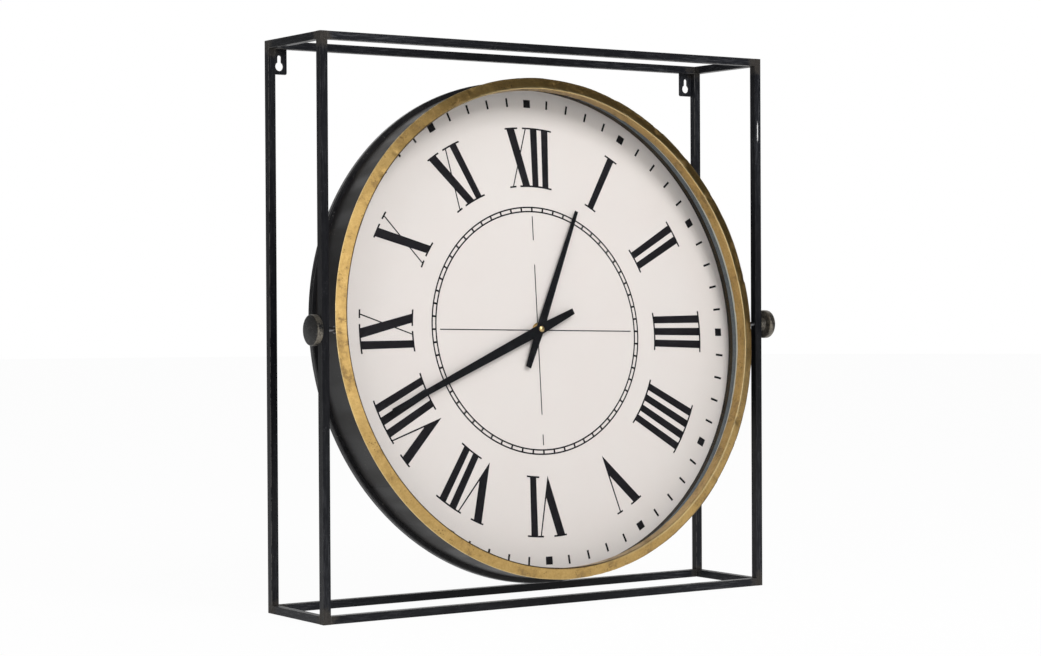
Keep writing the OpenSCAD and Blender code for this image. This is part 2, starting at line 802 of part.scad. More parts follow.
// The thick stroke keeps its width until the thin one cuts it to a point
module letter_v(x) {
    right = x + v_span;
    apex = x + 0.58 * v_span;
    thick = wide(apex - x);
    tip = 0.4;
    meet = (thick + hair_w - tip) / (right - tip - x);
    difference() {
        polygon([
            fanned(apex, 0), fanned(apex + tip, 0),
            fanned(right, 1), fanned(right, 1.1), fanned(x, 1.1), fanned(x, 1)
        ]);
        polygon([
            fanned(apex + thick - (apex - x) * meet, meet), fanned(right - hair_w, 1),
            fanned(right - hair_w, 1.1), fanned(x + thick, 1.1), fanned(x + thick, 1)
        ]);
    }
    serif(x - serif_out / 3, x + thick + serif_out, 1);
    serif(right - serif_out, right + serif_out * 0.8, 1);
}

// One letter with its left side at x, cut off along the circles at the numerals' two ends
module glyph(c, x) {
    intersection() {
        difference() {
            circle(r = numeral_out, $fn = 180);
            circle(r = numeral_in, $fn = 180);
        }
        union() {
            if (c == "I") letter_i(x);
            if (c == "X") letter_x(x);
            if (c == "V") letter_v(x);
        }
    }
}

module numerals() {
    hours = ["XII", "I", "II", "III", "IIII", "V", "VI", "VII", "VIII", "IX", "X", "XI"];
    color(ink_colour) on_dial() translate([numerals_right, numerals_up, dial_n])
        for (h = [0 : 11]) rotate([0, 0, numerals_turn - 30 * h]) linear_extrude(ink_t)
            for (k = [0 : len(hours[h]) - 1])
                glyph(hours[h][k], glyph_start(hours[h], k) - numeral_w(hours[h]) / 2);
}

module minute_track() {
    square_r = track_r - square_in;
    color(ink_colour) on_dial() translate([print_right, print_up, dial_n])
        for (k = [0 : 59]) rotate([0, 0, -6 * k])
            if (k % 5 == 0)
                translate([-square_a / 2, square_r - square_a / 2, 0]) cube([square_a, square_a, ink_t]);
            else
                translate([-minute_w / 2, track_r - minute_l / 2, 0]) cube([minute_w, minute_l, ink_t]);
}

// Chapter ring with sixty crossbars, and the crosshair with the two bare gaps on its upright line
module dial_lines() {
    in_r = chapter_r - chapter_w;
    start_r = dial_washer_r + norm([print_right, print_up]);
    color(ink_colour) on_dial() translate([print_right, print_up, 0]) {
        ring(chapter_r, chapter_r - chapter_line, dial_n, ink_t);
        ring(in_r + chapter_line, in_r, dial_n, ink_t);
        for (k = [0 : 59]) rotate([0, 0, 6 * k])
            cross_bar(in_r + chapter_line / 2, chapter_r - chapter_line / 2, chapter_bar_w);
        for (a = [0, 180]) rotate([0, 0, a - 90]) cross_bar(start_r, cross_r, cross_line);
        cross_bar(start_r, cross_r - upper_outer_l - upper_gap_l, cross_line);
        cross_bar(cross_r - upper_outer_l, cross_r, cross_line);
        rotate([0, 0, 180]) {
            cross_bar(start_r, cross_r - lower_outer_l - lower_gap_l, cross_line);
            cross_bar(cross_r - lower_outer_l, cross_r, cross_line);
        }
    }
}

module cross_bar(r1, r2, w) {
    translate([-w / 2, r1, dial_n]) cube([w, r2 - r1, ink_t]);
}

// Hands: straight bars, widest at the hub, with square ends
module hand(angle, n, length, tail, hub_w, tip_w, bore_r) {
    on_dial() rotate([0, 0, -angle]) translate([0, 0, n]) difference() {
        linear_extrude(hand_t) polygon([
            [-tail_w / 2, -tail], [tail_w / 2, -tail], [hub_w / 2, 0],
            [tip_w / 2, length], [-tip_w / 2, length], [-hub_w / 2, 0]
        ]);
        translate([0, 0, -over]) cylinder(h = hand_t + 2 * over, r = bore_r, $fn = 48);
    }
}

module hour_hand() {
    color("#08090c")
        hand(hour_angle, hour_hand_n, hour_l, hour_tail, hour_w, hour_tip_w, hour_tube_r);
}

module minute_hand() {
    color("#08090c") hand(
        minute_angle, minute_hand_n, minute_hand_l, minute_tail, minute_hand_w, minute_tip_w,
        minute_tube_r
    );
}

// Cap nut, hollow over the end of the second wheel's arbor
module cap_nut() {
    dome_r = (cap_r * cap_r + cap_dome * cap_dome) / (2 * cap_dome);
    color(brass_colour) on_dial() translate([0, 0, cap_n]) difference() {
        union() {
            cylinder(h = cap_h - cap_dome, r = cap_r, $fn = 64);
            intersection() {
                cylinder(h = cap_h, r = cap_r, $fn = 64);
                translate([0, 0, cap_h - dome_r]) sphere(r = dome_r);
            }
        }
        translate([0, 0, -over])
            cylinder(h = over + arbor_in_cap + cap_play, r = second_arbor_r + cap_play, $fn = 32);
    }
}

module brass_washer() {
    color(brass_colour) on_dial() ring(dial_washer_r, bush_r + fit_clear, dial_n, dial_washer_t);
}

module fixing_nut() {
    color(brass_colour) on_dial() translate([0, 0, nut_n]) difference() {
        cylinder(h = fixing_nut_t, r = fixing_nut_af / 2 / cos(30), $fn = 6);
        translate([0, 0, -over])
            cylinder(h = fixing_nut_t + 2 * over, r = bush_r + fit_clear, $fn = 64);
    }
}

module rubber_washer() {
    color("#2a2a2a") on_dial() ring(rubber_r, bush_r + slip, case_n, rubber_t);
}

// Movement case, front half: a plate with the threaded bush and the front pivot holes
module case_front() {
    color(case_colour) on_dial() difference() {
        union() {
            translate([-case_a / 2, case_bottom_v, front_in_n]) cube([case_a, case_a, case_wall]);
            arbor(bush_r, case_n - case_wall / 2, bush_n);
        }
        translate([0, 0, front_in_n - over])
            cylinder(h = bush_n - front_in_n + 2 * over, r = bush_bore_r, $fn = 64);
        for (at = [third_at, intermediate_at, rotor_at, minute_at, setting_at])
            arbor(pivot_hole_r, front_in_n - over, front_in_n + pivot_depth, at);
    }
}

// Movement case, rear half: an open box with a battery bay and a pocket for the setting knob
module case_back() {
    bay_h = bay_wall_v - case_bottom_v - case_wall;
    color(case_colour) on_dial() difference() {
        union() {
            difference() {
                translate([-case_a / 2, case_bottom_v, rear_n])
                    cube([case_a, case_a, front_in_n - rear_n]);
                translate([-case_a / 2 + case_wall, bay_wall_v + case_wall, rear_in_n])
                    cube([
                        case_a - 2 * case_wall, case_top_v - bay_wall_v - 2 * case_wall,
                        front_in_n - rear_in_n + over
                    ]);
                translate([-case_a / 2 + case_wall, case_bottom_v + case_wall, rear_n - over])
                    cube([case_a - 2 * case_wall, bay_h, front_in_n - rear_n + 2 * over]);
            }
            arbor(
                pocket_r + case_wall, rear_n + case_wall / 2, rear_n + pocket_d + case_wall,
                setting_at
            );
            for (at = concat(stator_posts(), board_posts()))
                arbor(standoff_r, rear_in_n - case_wall / 2, stator_n, at);
        }
        arbor(pocket_r, rear_n - over, rear_n + pocket_d, setting_at);
        arbor(pivot_hole_r, rear_n, rear_n + pocket_d + case_wall + over, setting_at);
        for (at = [third_at, intermediate_at, rotor_at, minute_at])
            arbor(pivot_hole_r, rear_in_n - pivot_depth, rear_in_n + over, at);
        arbor(minute_bore_r, rear_in_n - pivot_depth, rear_in_n + over);
    }
}

function stator_posts() = [
    rotor_at + [-stator_w / 2 + stator_side / 2, 0],
    rotor_at + [stator_w / 2 - stator_side / 2, 0]
];
function board_posts() = [
    board_at + [board_post_in, board_post_in],
    board_at + [board_w - board_post_in, board_h - board_post_in]
];

module circuit_board() {
    color("#1f5c3a") on_dial() translate([board_at[0], board_at[1], stator_n])
        cube([board_w, board_h, board_t]);
}

// Stator: a closed loop of soft iron round the rotor's magnet and through the coil
module stator() {
    color(steel_colour) on_dial() translate([rotor_at[0], rotor_at[1], stator_n]) difference() {
        translate([-stator_w / 2, -stator_body, 0])
            cube([stator_w, stator_h + stator_body, stator_t]);
        translate([stator_side - stator_w / 2, stator_body, -over])
            cube([
                stator_w - 2 * stator_side, stator_h - stator_leg - stator_body,
                stator_t + 2 * over
            ]);
        translate([0, 0, -over])
            cylinder(h = stator_t + 2 * over, r = magnet_r + stator_gap, $fn = 48);
    }
}

// Coil wound round the stator's upper leg, as one solid winding
module coil() {
    hole_t = stator_t + 2 * coil_play;
    hole_h = stator_leg + 2 * coil_play;
    color("#8a4b22") on_dial()
        translate([
            rotor_at[0] - coil_l / 2, rotor_at[1] + stator_h - stator_leg / 2,
            stator_n + stator_t / 2
        ])
            rotate([0, 90, 0]) difference() {
                cylinder(h = coil_l, r = coil_r, $fn = 48);
                translate([-hole_t / 2, -hole_h / 2, -over])
                    cube([hole_t, hole_h, coil_l + 2 * over]);
            }
}

// Going train
module rotor() {
    magnet_n = stator_n + stator_t / 2 - magnet_t / 2;
    color(wheel_colour) on_dial() {
        gear(rotor_z, rotor_m, facing(rotor_dir, rotor_z), layer_n(6), rotor_at);
        arbor(arbor_r, arbor_rear_n, arbor_front_n, rotor_at);
        arbor(magnet_r, magnet_n, magnet_n + magnet_t, rotor_at);
    }
}

module intermediate_wheel() {
    pinion_z = intermediate_pinion_z;
    color(wheel_colour) on_dial() {
        gear(intermediate_z, rotor_m, rotor_dir, layer_n(6), intermediate_at);
        gear(pinion_z, second_m, facing(intermediate_dir, pinion_z), layer_n(5), intermediate_at);
        arbor(arbor_r, arbor_rear_n, arbor_front_n, intermediate_at);
        arbor(intermediate_hub_r, layer_n(6), layer_n(5), intermediate_at);
    }
}

module second_wheel() {
    color(wheel_colour) on_dial() {
        gear(second_z, second_m, intermediate_dir, layer_n(5));
        gear(second_pinion_z, third_m, third_dir, layer_n(4));
        arbor(second_arbor_r, arbor_rear_n, cap_n + arbor_in_cap);
        arbor(second_hub_r, layer_n(5), layer_n(4));
    }
}

module third_wheel() {
    color(wheel_colour) on_dial() {
        gear(third_z, third_m, facing(third_dir, third_z), layer_n(4), third_at);
        gear(third_pinion_z, centre_m, facing(third_dir, third_pinion_z), layer_n(3), third_at);
        arbor(arbor_r, arbor_rear_n, arbor_front_n, third_at);
    }
}

// The centre wheel drives the minute arbor through a slip fit, so that the hands can be set
module centre_wheel() {
    color(wheel_colour) on_dial() difference() {
        gear(centre_z, centre_m, third_dir, layer_n(3));
        arbor(hour_bore_r, layer_n(3) - over, layer_n(3) + wheel_t + over);
    }
}

// Motion work
module minute_arbor() {
    color(wheel_colour) on_dial() difference() {
        union() {
            gear(cannon_z, cannon_m, minute_dir, layer_n(2));
            arbor(minute_tube_r, layer_n(3), cap_n);
        }
        arbor(minute_bore_r, layer_n(3) - over, cap_n + over);
    }
}

module minute_wheel() {
    pinion_z = minute_pinion_z;
    color(wheel_colour) on_dial() {
        gear(minute_z, cannon_m, facing(minute_dir, minute_z), layer_n(2), minute_at);
        gear(pinion_z, hour_m, facing(minute_dir, pinion_z), layer_n(1), minute_at);
        arbor(arbor_r, arbor_rear_n, arbor_front_n, minute_at);
    }
}

module hour_wheel() {
    front_n = hour_hand_n + hand_t;
    color(wheel_colour) on_dial() difference() {
        union() {
            gear(hour_z, hour_m, minute_dir, layer_n(1));
            arbor(hour_tube_r, layer_n(1), front_n);
        }
        arbor(hour_bore_r, layer_n(1) - over, front_n + over);
    }
}

// Setting knob: its pinion meshes with the minute wheel, so its turn counts that wheel's teeth
module setting_knob() {
    steps = (setting_dir - facing(minute_dir, minute_z)) * minute_z / 360;
    turn = facing(setting_dir, setting_z) + (steps - floor(steps)) * 360 / setting_z;
    color("#c9c4b8") on_dial() {
        gear(setting_z, pair_module(setting_a, setting_z, minute_z), turn, layer_n(2), setting_at);
        arbor(arbor_r, rear_n + setting_knob_t / 2, arbor_front_n, setting_at);
        arbor(setting_knob_r, rear_n, rear_n + setting_knob_t, setting_at);
    }
}

// Battery, lying across the bay, and its two contacts
module battery() {
    color("#7d8288") on_dial()
        translate([-contact_u + contact_bump, battery_v, battery_n]) rotate([0, 90, 0]) {
            cylinder(h = battery_l, r = battery_r, $fn = 64);
            cylinder(h = battery_l + battery_cap_l, r = battery_cap_r, $fn = 48);
        }
}

module contact_plus() { contact(1, 0); }
module contact_minus() { contact(-1, contact_bump); }

module contact(side, bump) {
    at = [side * (contact_u + contact_t / 2), battery_v, battery_n];
    color(steel_colour) on_dial() translate(at) {
        cube([contact_t, contact_w, contact_h], center = true);
        if (bump > 0)
            rotate([0, -side * 90, 0]) cylinder(h = contact_t / 2 + bump, r = contact_bump_r, $fn = 32);
    }
}

front_left_post();
front_right_post();
back_left_post();
back_right_post();
front_top_rail();
front_bottom_rail();
back_top_rail();
back_bottom_rail();
left_top_bar();
left_bottom_bar();
right_top_bar();
right_bottom_bar();
left_hanger_tab();
right_hanger_tab();
left_knob();
right_knob();
left_stud();
right_stud();
pivot_spacers();
pivot_washers();
pivot_nuts();
drum_band();
rear_rim();
back_cover();
cover_screws();
bezel();
glass();
glass_seal();
dial_spacer();
rear_spacer();
dial();
numerals();
minute_track();
dial_lines();
hour_hand();
minute_hand();
cap_nut();
fixing_nut();
brass_washer();
rubber_washer();
case_front();
case_back();
circuit_board();
coil();
stator();
rotor();
intermediate_wheel();
second_wheel();
third_wheel();
centre_wheel();
minute_arbor();
minute_wheel();
hour_wheel();
setting_knob();
battery();
contact_plus();
contact_minus();
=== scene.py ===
"""Swivel clock: finishes, worked metal, light and camera for the tilting clock in its box of bars.

Metres. The dial faces -Y, the right side as seen from the front is +X, and +Z is up.
"""

import json
import math
from types import SimpleNamespace

import bmesh
import bpy
from bpy.props import FloatProperty, FloatVectorProperty, IntProperty, PointerProperty
from mathutils import Matrix, Vector

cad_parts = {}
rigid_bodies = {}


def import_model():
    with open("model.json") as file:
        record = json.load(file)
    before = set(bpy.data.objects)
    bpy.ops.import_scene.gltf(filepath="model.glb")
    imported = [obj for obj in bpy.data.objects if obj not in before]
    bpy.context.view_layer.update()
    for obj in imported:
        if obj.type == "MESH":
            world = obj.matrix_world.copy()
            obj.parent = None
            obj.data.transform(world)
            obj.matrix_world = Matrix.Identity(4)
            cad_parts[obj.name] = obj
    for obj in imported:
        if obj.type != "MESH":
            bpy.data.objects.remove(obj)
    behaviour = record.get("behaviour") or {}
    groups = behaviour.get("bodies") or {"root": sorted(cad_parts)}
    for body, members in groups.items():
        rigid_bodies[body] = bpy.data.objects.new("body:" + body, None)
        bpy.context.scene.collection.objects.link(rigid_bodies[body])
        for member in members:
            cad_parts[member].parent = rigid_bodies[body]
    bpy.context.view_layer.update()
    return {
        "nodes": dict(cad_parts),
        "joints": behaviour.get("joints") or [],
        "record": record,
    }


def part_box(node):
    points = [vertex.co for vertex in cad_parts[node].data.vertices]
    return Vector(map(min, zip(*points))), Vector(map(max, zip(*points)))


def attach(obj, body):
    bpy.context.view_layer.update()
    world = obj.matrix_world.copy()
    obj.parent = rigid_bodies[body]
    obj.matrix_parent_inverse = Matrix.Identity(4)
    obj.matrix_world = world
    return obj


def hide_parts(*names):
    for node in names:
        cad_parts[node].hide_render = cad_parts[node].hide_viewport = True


bl_info = {
    "name": "Swivel clock",
    "version": (1, 0, 0),
    "blender": (4, 5, 0),
    "location": "3D View > Sidebar > Swivel clock",
    "description": (
        "Dresses the frame, knobs, drum, bezel, dial, hands and movement of a swivel clock"),
    "category": "Object",
}

for leftover in list(bpy.data.objects):
    bpy.data.objects.remove(leftover)
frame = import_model()

MM = 0.001
JOINTS = {joint["name"]: joint for joint in frame["joints"]}
PIVOT_Z = JOINTS["head_tilt"]["pos_m"][2]
HAND_AXIS = JOINTS["minute_turn"]["axis"]
TILT = math.atan2(abs(HAND_AXIS[2]), abs(HAND_AXIS[1]))

# The head's own directions: X to the right, Y up the dial, Z out of the dial
HEAD = Matrix((
    (1, 0, 0, 0),
    (0, math.sin(TILT), -math.cos(TILT), 0),
    (0, math.cos(TILT), math.sin(TILT), PIVOT_Z),
    (0, 0, 0, 1),
))
HEAD_TURN = HEAD.to_3x3()

DRUM_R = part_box("drum_band")[1].x
BEZEL_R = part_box("bezel")[1].x
FRAME_HALF_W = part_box("front_right_post")[1].x
FRAME_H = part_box("front_right_post")[1].z
BAR = FRAME_HALF_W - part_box("front_right_post")[0].x
BACK_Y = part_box("back_right_post")[1].y - BAR / 2
GLAZED_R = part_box("glass")[1].x
SHEET = 1.2 * MM
LIP_W = 12 * MM


def front_depth(node, radius):
    """Depth of a round node's front face, towards the viewer from the tilt axis"""
    return (-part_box(node)[0].y - radius * math.sin(TILT)) / math.cos(TILT)


def rear_depth(node, radius):
    """Depth of a round node's rear face"""
    return (radius * math.sin(TILT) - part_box(node)[1].y) / math.cos(TILT)


def share_of(value):
    """A value held between nothing and one"""
    return min(1.0, max(0.0, value))


def srgb(red, green, blue):
    """A screen colour, each channel from 0 to 255, as the linear colour that Blender works in"""
    def linear(value):
        value /= 255
        return value / 12.92 if value <= 0.04045 else ((value + 0.055) / 1.055) ** 2.4
    return linear(red), linear(green), linear(blue)


def shade(tone, share):
    """A colour made darker or lighter"""
    return tuple(channel * share for channel in tone)


# ---------------------------------------------------------------- settings

def colour(name, description, default):
    return FloatVectorProperty(
        name=name, description=description, default=default, subtype="COLOR", min=0, max=1)


def length(name, description, default):
    return FloatProperty(
        name=name, description=description, default=default, min=0, subtype="DISTANCE",
        unit="LENGTH", precision=5)


def power(name, description, default):
    return FloatProperty(name=name, description=description, default=default, min=0, unit="POWER")


class FrameSettings(bpy.types.PropertyGroup):
    """The box of welded bars"""
    bar_rounding: length("Bar rounding", "Rounding of a bar's edges", 0.5 * MM)
    weld_reach: length("Weld reach", "How far the ground weld marks reach from a corner", 16 * MM)
    iron: colour("Iron", "Colour of the bars' dark lacquer", srgb(10, 11, 15))
    rubbed_iron: colour(
        "Rubbed iron", "Colour of the bars where the lacquer is thin", srgb(84, 84, 88))
    weld: colour("Weld", "Colour of the ground weld marks", srgb(104, 98, 90))


class KnobSettings(bpy.types.PropertyGroup):
    """The clamp knobs and what sits on their studs"""
    gunmetal: colour("Gunmetal", "Colour of the knobs", srgb(27, 27, 29))
    steel: colour("Steel", "Colour of the studs, sleeves, washers and nuts", srgb(140, 140, 142))


class DrumSettings(bpy.types.PropertyGroup):
    """The drum's side band, its rim and its cover"""
    seam_angle: FloatProperty(
        name="Seam angle", description="Place of the band's lap seam, clockwise from twelve",
        default=math.radians(233.2), subtype="ANGLE", unit="ROTATION")
    seam_step: length("Seam step", "Height of the band's lap seam", 0.5 * MM)
    paint: colour("Paint", "Colour of the drum's side band", srgb(34, 33, 34))
    rim: colour("Rim", "Colour of the rear rim and the cover", srgb(15, 15, 18))


class BezelSettings(bpy.types.PropertyGroup):
    """The rubbed brass bezel"""
    segments: IntProperty(
        name="Segments", description="Steps round the bezel", default=720, min=90, max=1440)
    wave: length("Wave", "How far the hand-worked face falls back from a true cone", 0.55 * MM)
    dent: length("Dent", "Depth of the small dents", 0.5 * MM)
    brass: colour("Brass", "Colour of the rubbed leaf", srgb(198, 166, 106))
    # Also, darkened, the colour of the painted shade along the bezel's edges
    patina: colour("Patina", "Colour of the brown ground under the leaf", srgb(92, 68, 42))


class DialSettings(bpy.types.PropertyGroup):
    """Dial, printing and hands"""
    paper: colour("Dial", "Colour of the dial", srgb(231, 223, 220))
    ink: colour("Ink", "Colour of the printing", srgb(20, 18, 22))
    hand_rounding: length("Hand rounding", "Rounding of the hands' edges", 0.15 * MM)


class StageSettings(bpy.types.PropertyGroup):
    """Floor, lamps and camera"""
    floor: colour("Floor", "Colour of the floor", (0.9, 0.9, 0.9))
    front_power: power("Front lamp", "Power of the lamp above the front", 59)
    side_power: power("Side lamp", "Power of the lamp on the left", 17)
    sky: FloatProperty(
        name="Sky", description="Strength of the even light from all round", default=0.48, min=0,
        max=2.0)
    lens: FloatProperty(
        name="Lens", description="Focal length of the camera in millimetres", default=83.064, min=1)


class ClockSettings(bpy.types.PropertyGroup):
    """All of the clock's settings"""
    frame: PointerProperty(type=FrameSettings)
    knobs: PointerProperty(type=KnobSettings)
    drum: PointerProperty(type=DrumSettings)
    bezel: PointerProperty(type=BezelSettings)
    dial: PointerProperty(type=DialSettings)
    stage: PointerProperty(type=StageSettings)


def settings():
    return bpy.context.scene.swivel_clock


# ---------------------------------------------------------------- node helpers

class Value:
    """A node's result, which adds, subtracts and multiplies like a number"""

    def __init__(self, socket):
        self.socket = socket
        self.tree = socket.id_data

    def __add__(self, other):
        return maths("ADD", self, other)

    def __radd__(self, other):
        return maths("ADD", other, self)

    def __sub__(self, other):
        return maths("SUBTRACT", self, other)

    def __rsub__(self, other):
        return maths("SUBTRACT", other, self)

    def __mul__(self, other):
        return maths("MULTIPLY", self, other)

    def ramp(self, low, high, out_low=0.0, out_high=1.0):
        """Mapped smoothly from one range to another"""
        return read(self.tree, "ShaderNodeMapRange", "Result", {
            "Value": self, "From Min": low, "From Max": high, "To Min": out_low, "To Max": out_high,
        }, interpolation_type="SMOOTHSTEP")


def put(value, socket):
    """Joins a result to a socket, or sets the socket to a plain value"""
    if isinstance(value, Value):
        value.tree.links.new(value.socket, socket)
    else:
        socket.default_value = value


def add(tree, kind, inputs=None, **given):
    """A new node with its settings, and its inputs set to values or joined to results"""
    made = tree.nodes.new(kind)
    for key, value in given.items():
        setattr(made, key, value)
    for key, value in (inputs or {}).items():
        put(value, made.inputs[key])
    return made


def read(tree, kind, output, inputs=None, **given):
    """One result of a new node"""
    return Value(add(tree, kind, inputs, **given).outputs[output])


def all_of(sockets):
    """Sockets as results, under their names in small letters"""
    return SimpleNamespace(**{
        socket.name.lower().replace(" ", "_"): Value(socket) for socket in sockets if socket.name})


def maths(operation, *values, clamp=False):
    """A Math node's result"""
    tree = next(value.tree for value in values if isinstance(value, Value))
    return read(
        tree, "ShaderNodeMath", 0, dict(enumerate(values)), operation=operation, use_clamp=clamp)


def vector_maths(operation, *values):
    """A Vector Math node's result"""
    output = "Value" if operation in ("DOT_PRODUCT", "DISTANCE", "LENGTH") else "Vector"
    return read(
        values[0].tree, "ShaderNodeVectorMath", output, dict(enumerate(values)),
        operation=operation)


def blended(tree, factor, first, second):
    """Two colours mixed by a factor"""
    made = add(tree, "ShaderNodeMix", data_type="RGBA")
    put(factor, made.inputs[0])
    for tone, socket in ((first, made.inputs[6]), (second, made.inputs[7])):
        put(tone if isinstance(tone, Value) else (*tone, 1.0), socket)
    return Value(made.outputs[2])


def noise_at(where, scale, detail=3.0, roughness=0.55, distortion=0.0):
    """Noise, about 0.5, at a place"""
    return read(where.tree, "ShaderNodeTexNoise", "Fac", {
        "Vector": where, "Scale": scale, "Detail": detail, "Roughness": roughness,
        "Distortion": distortion,
    })


def new_group(kind, name, inputs, outputs):
    """An empty node group with named sockets: (tree, inputs, output node)"""
    tree = bpy.data.node_groups.new(name, kind)
    for in_out, sockets in (("INPUT", inputs), ("OUTPUT", outputs)):
        for label, (socket_kind, default) in sockets.items():
            socket = tree.interface.new_socket(
                label, in_out=in_out, socket_type="NodeSocket" + socket_kind)
            if default is not None:
                socket.default_value = default
    entry = tree.nodes.new("NodeGroupInput")
    return tree, all_of(entry.outputs), tree.nodes.new("NodeGroupOutput")


def effect_group(name, outputs, **inputs):
    """An empty shader group: a vector and numbers in, numbers out"""
    sockets = {"Vector": ("Vector", None)}
    sockets.update({key: ("Float", default) for key, default in inputs.items()})
    return new_group("ShaderNodeTree", name, sockets, {key: ("Float", None) for key in outputs})


def end_group(leave, **results):
    """Joins a group's results to its outputs"""
    for key, value in results.items():
        put(value, leave.inputs[key])


# ---------------------------------------------------------------- shared effects

def mottle_group():
    """Cloudy patches of two sizes, and a finer grain for bumps"""
    tree, given, leave = effect_group("Mottle", ("Patches", "Grain"), Scale=40.0, Spread=0.18)
    large = noise_at(given.vector, given.scale, 5.0, 0.62, 0.3)
    fine = noise_at(given.vector, given.scale * 9.0, 4.0, 0.6)
    both = large * 0.7 + fine * 0.3
    end_group(leave, Patches=both.ramp(0.5 - given.spread, 0.5 + given.spread), Grain=fine)
    return tree


def streak_group():
    """Long fine streaks: the vector comes in already squeezed across the streaks"""
    tree, given, leave = effect_group("Streaks", ("Streaks", "Broad"), Scale=1.0, Cover=0.5)
    fine = noise_at(given.vector, given.scale * 6.0, 3.0, 0.6)
    broad = noise_at(given.vector, given.scale, 2.0, 0.5)
    edge = 0.78 - given.cover * 0.3
    end_group(leave, Streaks=fine.ramp(edge, edge + 0.12), Broad=broad.ramp(0.35, 0.65))
    return tree


def speck_group():
    """Small scattered specks of uneven size"""
    tree, given, leave = effect_group("Specks", ("Specks",), Scale=300.0, Size=0.16)
    wobble = noise_at(given.vector, given.scale * 0.21, 2.0)
    away = read(tree, "ShaderNodeTexVoronoi", "Distance", {
        "Vector": given.vector, "Scale": given.scale})
    reach = given.size * wobble.ramp(0.42, 0.72)
    end_group(leave, Specks=away.ramp(reach * 0.6, reach + 0.001, 1.0, 0.0))
    return tree


def edge_wear_group():
    """Rubbed edges: reads the mark that the worked pieces carry on their rounded edges"""
    tree, given, leave = effect_group("Edge wear", ("Worn",), Scale=60.0, Amount=0.5)
    mark = read(tree, "ShaderNodeAttribute", "Fac", attribute_name="worn")
    rag = noise_at(given.vector, given.scale, 5.0, 0.65)
    edge = 0.74 - given.amount * 0.34
    end_group(leave, Worn=maths("MULTIPLY", mark, rag.ramp(edge, edge + 0.1), clamp=True))
    return tree


def dust_group():
    """A thin film of dust on what faces up"""
    tree, given, leave = effect_group("Dust", ("Dust",), Amount=0.2)
    facing = read(tree, "ShaderNodeNewGeometry", "Normal")
    flat = read(tree, "ShaderNodeSeparateXYZ", "Z", {"Vector": facing}).ramp(0.45, 0.98)
    drift = noise_at(given.vector, 70.0, 4.0, 0.6).ramp(0.3, 0.75)
    end_group(leave, Dust=maths("MULTIPLY", flat * drift, given.amount, clamp=True))
    return tree


def weld_group():
    """Ground weld marks round the eight corners of the box of bars"""
    tree, given, leave = effect_group(
        "Weld marks", ("Weld", "Beads", "Near"), Reach=0.02, Handled=0.2)
    off = vector_maths("SUBTRACT", given.vector, (0.0, BACK_Y / 2, FRAME_H / 2))
    corner = vector_maths(
        "DISTANCE", vector_maths("ABSOLUTE", off),
        (FRAME_HALF_W - BAR / 2, BACK_Y / 2, FRAME_H / 2 - BAR / 2))
    ragged = corner + (noise_at(given.vector, 90.0, 4.0, 0.6) - 0.5) * 0.03
    end_group(
        leave, Weld=ragged.ramp(given.reach * 0.45, given.reach, 1.0, 0.0),
        Beads=noise_at(given.vector, 420.0, 3.0, 0.7),
        Near=corner.ramp(0.02, given.handled, 1.0, 0.0))
    return tree


EFFECTS = {
    "mottle": mottle_group, "streaks": streak_group, "specks": speck_group,
    "edge wear": edge_wear_group, "dust": dust_group, "weld": weld_group,
}
GROUPS = {}


# ---------------------------------------------------------------- finishes

class Finish:
    """A material being made: its tree, its Principled BSDF and the place on the object"""

    def __init__(self, name, **constants):
        self.material = bpy.data.materials.new(name)
        self.material.use_nodes = True
        self.tree = self.material.node_tree
        self.tree.nodes.clear()
        self.output = self.tree.nodes.new("ShaderNodeOutputMaterial")
        self.shader = self.tree.nodes.new("ShaderNodeBsdfPrincipled")
        self.tree.links.new(self.shader.outputs[0], self.output.inputs["Surface"])
        self.place = read(self.tree, "ShaderNodeTexCoord", "Object")
        for key, value in constants.items():
            self.shader.inputs[key.replace("_", " ")].default_value = value

    def group(self, name, **inputs):
        """A shared effect placed in this material, its group built on first use"""
        if name not in GROUPS:
            GROUPS[name] = EFFECTS[name]()
        return all_of(add(
            self.tree, "ShaderNodeGroup", {"Vector": self.place, **inputs},
            node_tree=GROUPS[name]).outputs)

    def stretched(self, scale, turn=(0, 0, 0), of=None):
        """The place, or another vector, with its axes turned and stretched"""
        return read(self.tree, "ShaderNodeMapping", "Vector", {
            "Vector": of or self.place, "Scale": scale, "Rotation": turn})

    def layers(self, base, *layers):
        """A colour with others laid over it, each by its own factor"""
        for factor, tone in layers:
            base = blended(self.tree, factor, base, tone)
        return base

    def bump(self, height, strength, distance):
        """A Bump node on the shader from a height"""
        normal = read(self.tree, "ShaderNodeBump", "Normal", {
            "Height": height, "Strength": strength, "Distance": distance})
        put(normal, self.shader.inputs["Normal"])

    def coat(self, tone, rough, height, strength, distance, metal=None):
        """Gives the shader its colour, roughness, bump and, where it varies, how metallic it is"""
        put(tone, self.shader.inputs["Base Color"])
        put(rough, self.shader.inputs["Roughness"])
        self.bump(height, strength, distance)
        if metal:
            put(metal, self.shader.inputs["Metallic"])
        return self

    def over(self, factor, shader):
        """Mixes another shader over the Principled one"""
        mix = add(self.tree, "ShaderNodeMixShader", {0: factor})
        self.tree.links.new(self.shader.outputs[0], mix.inputs[1])
        self.tree.links.new(shader.outputs[0], mix.inputs[2])
        self.tree.links.new(mix.outputs[0], self.output.inputs["Surface"])


FINISHES = {}


def finish(name):
    """A finish by name, built once"""
    if name not in FINISHES:
        FINISHES[name] = FINISH_MAKERS[name]().material
    return FINISHES[name]


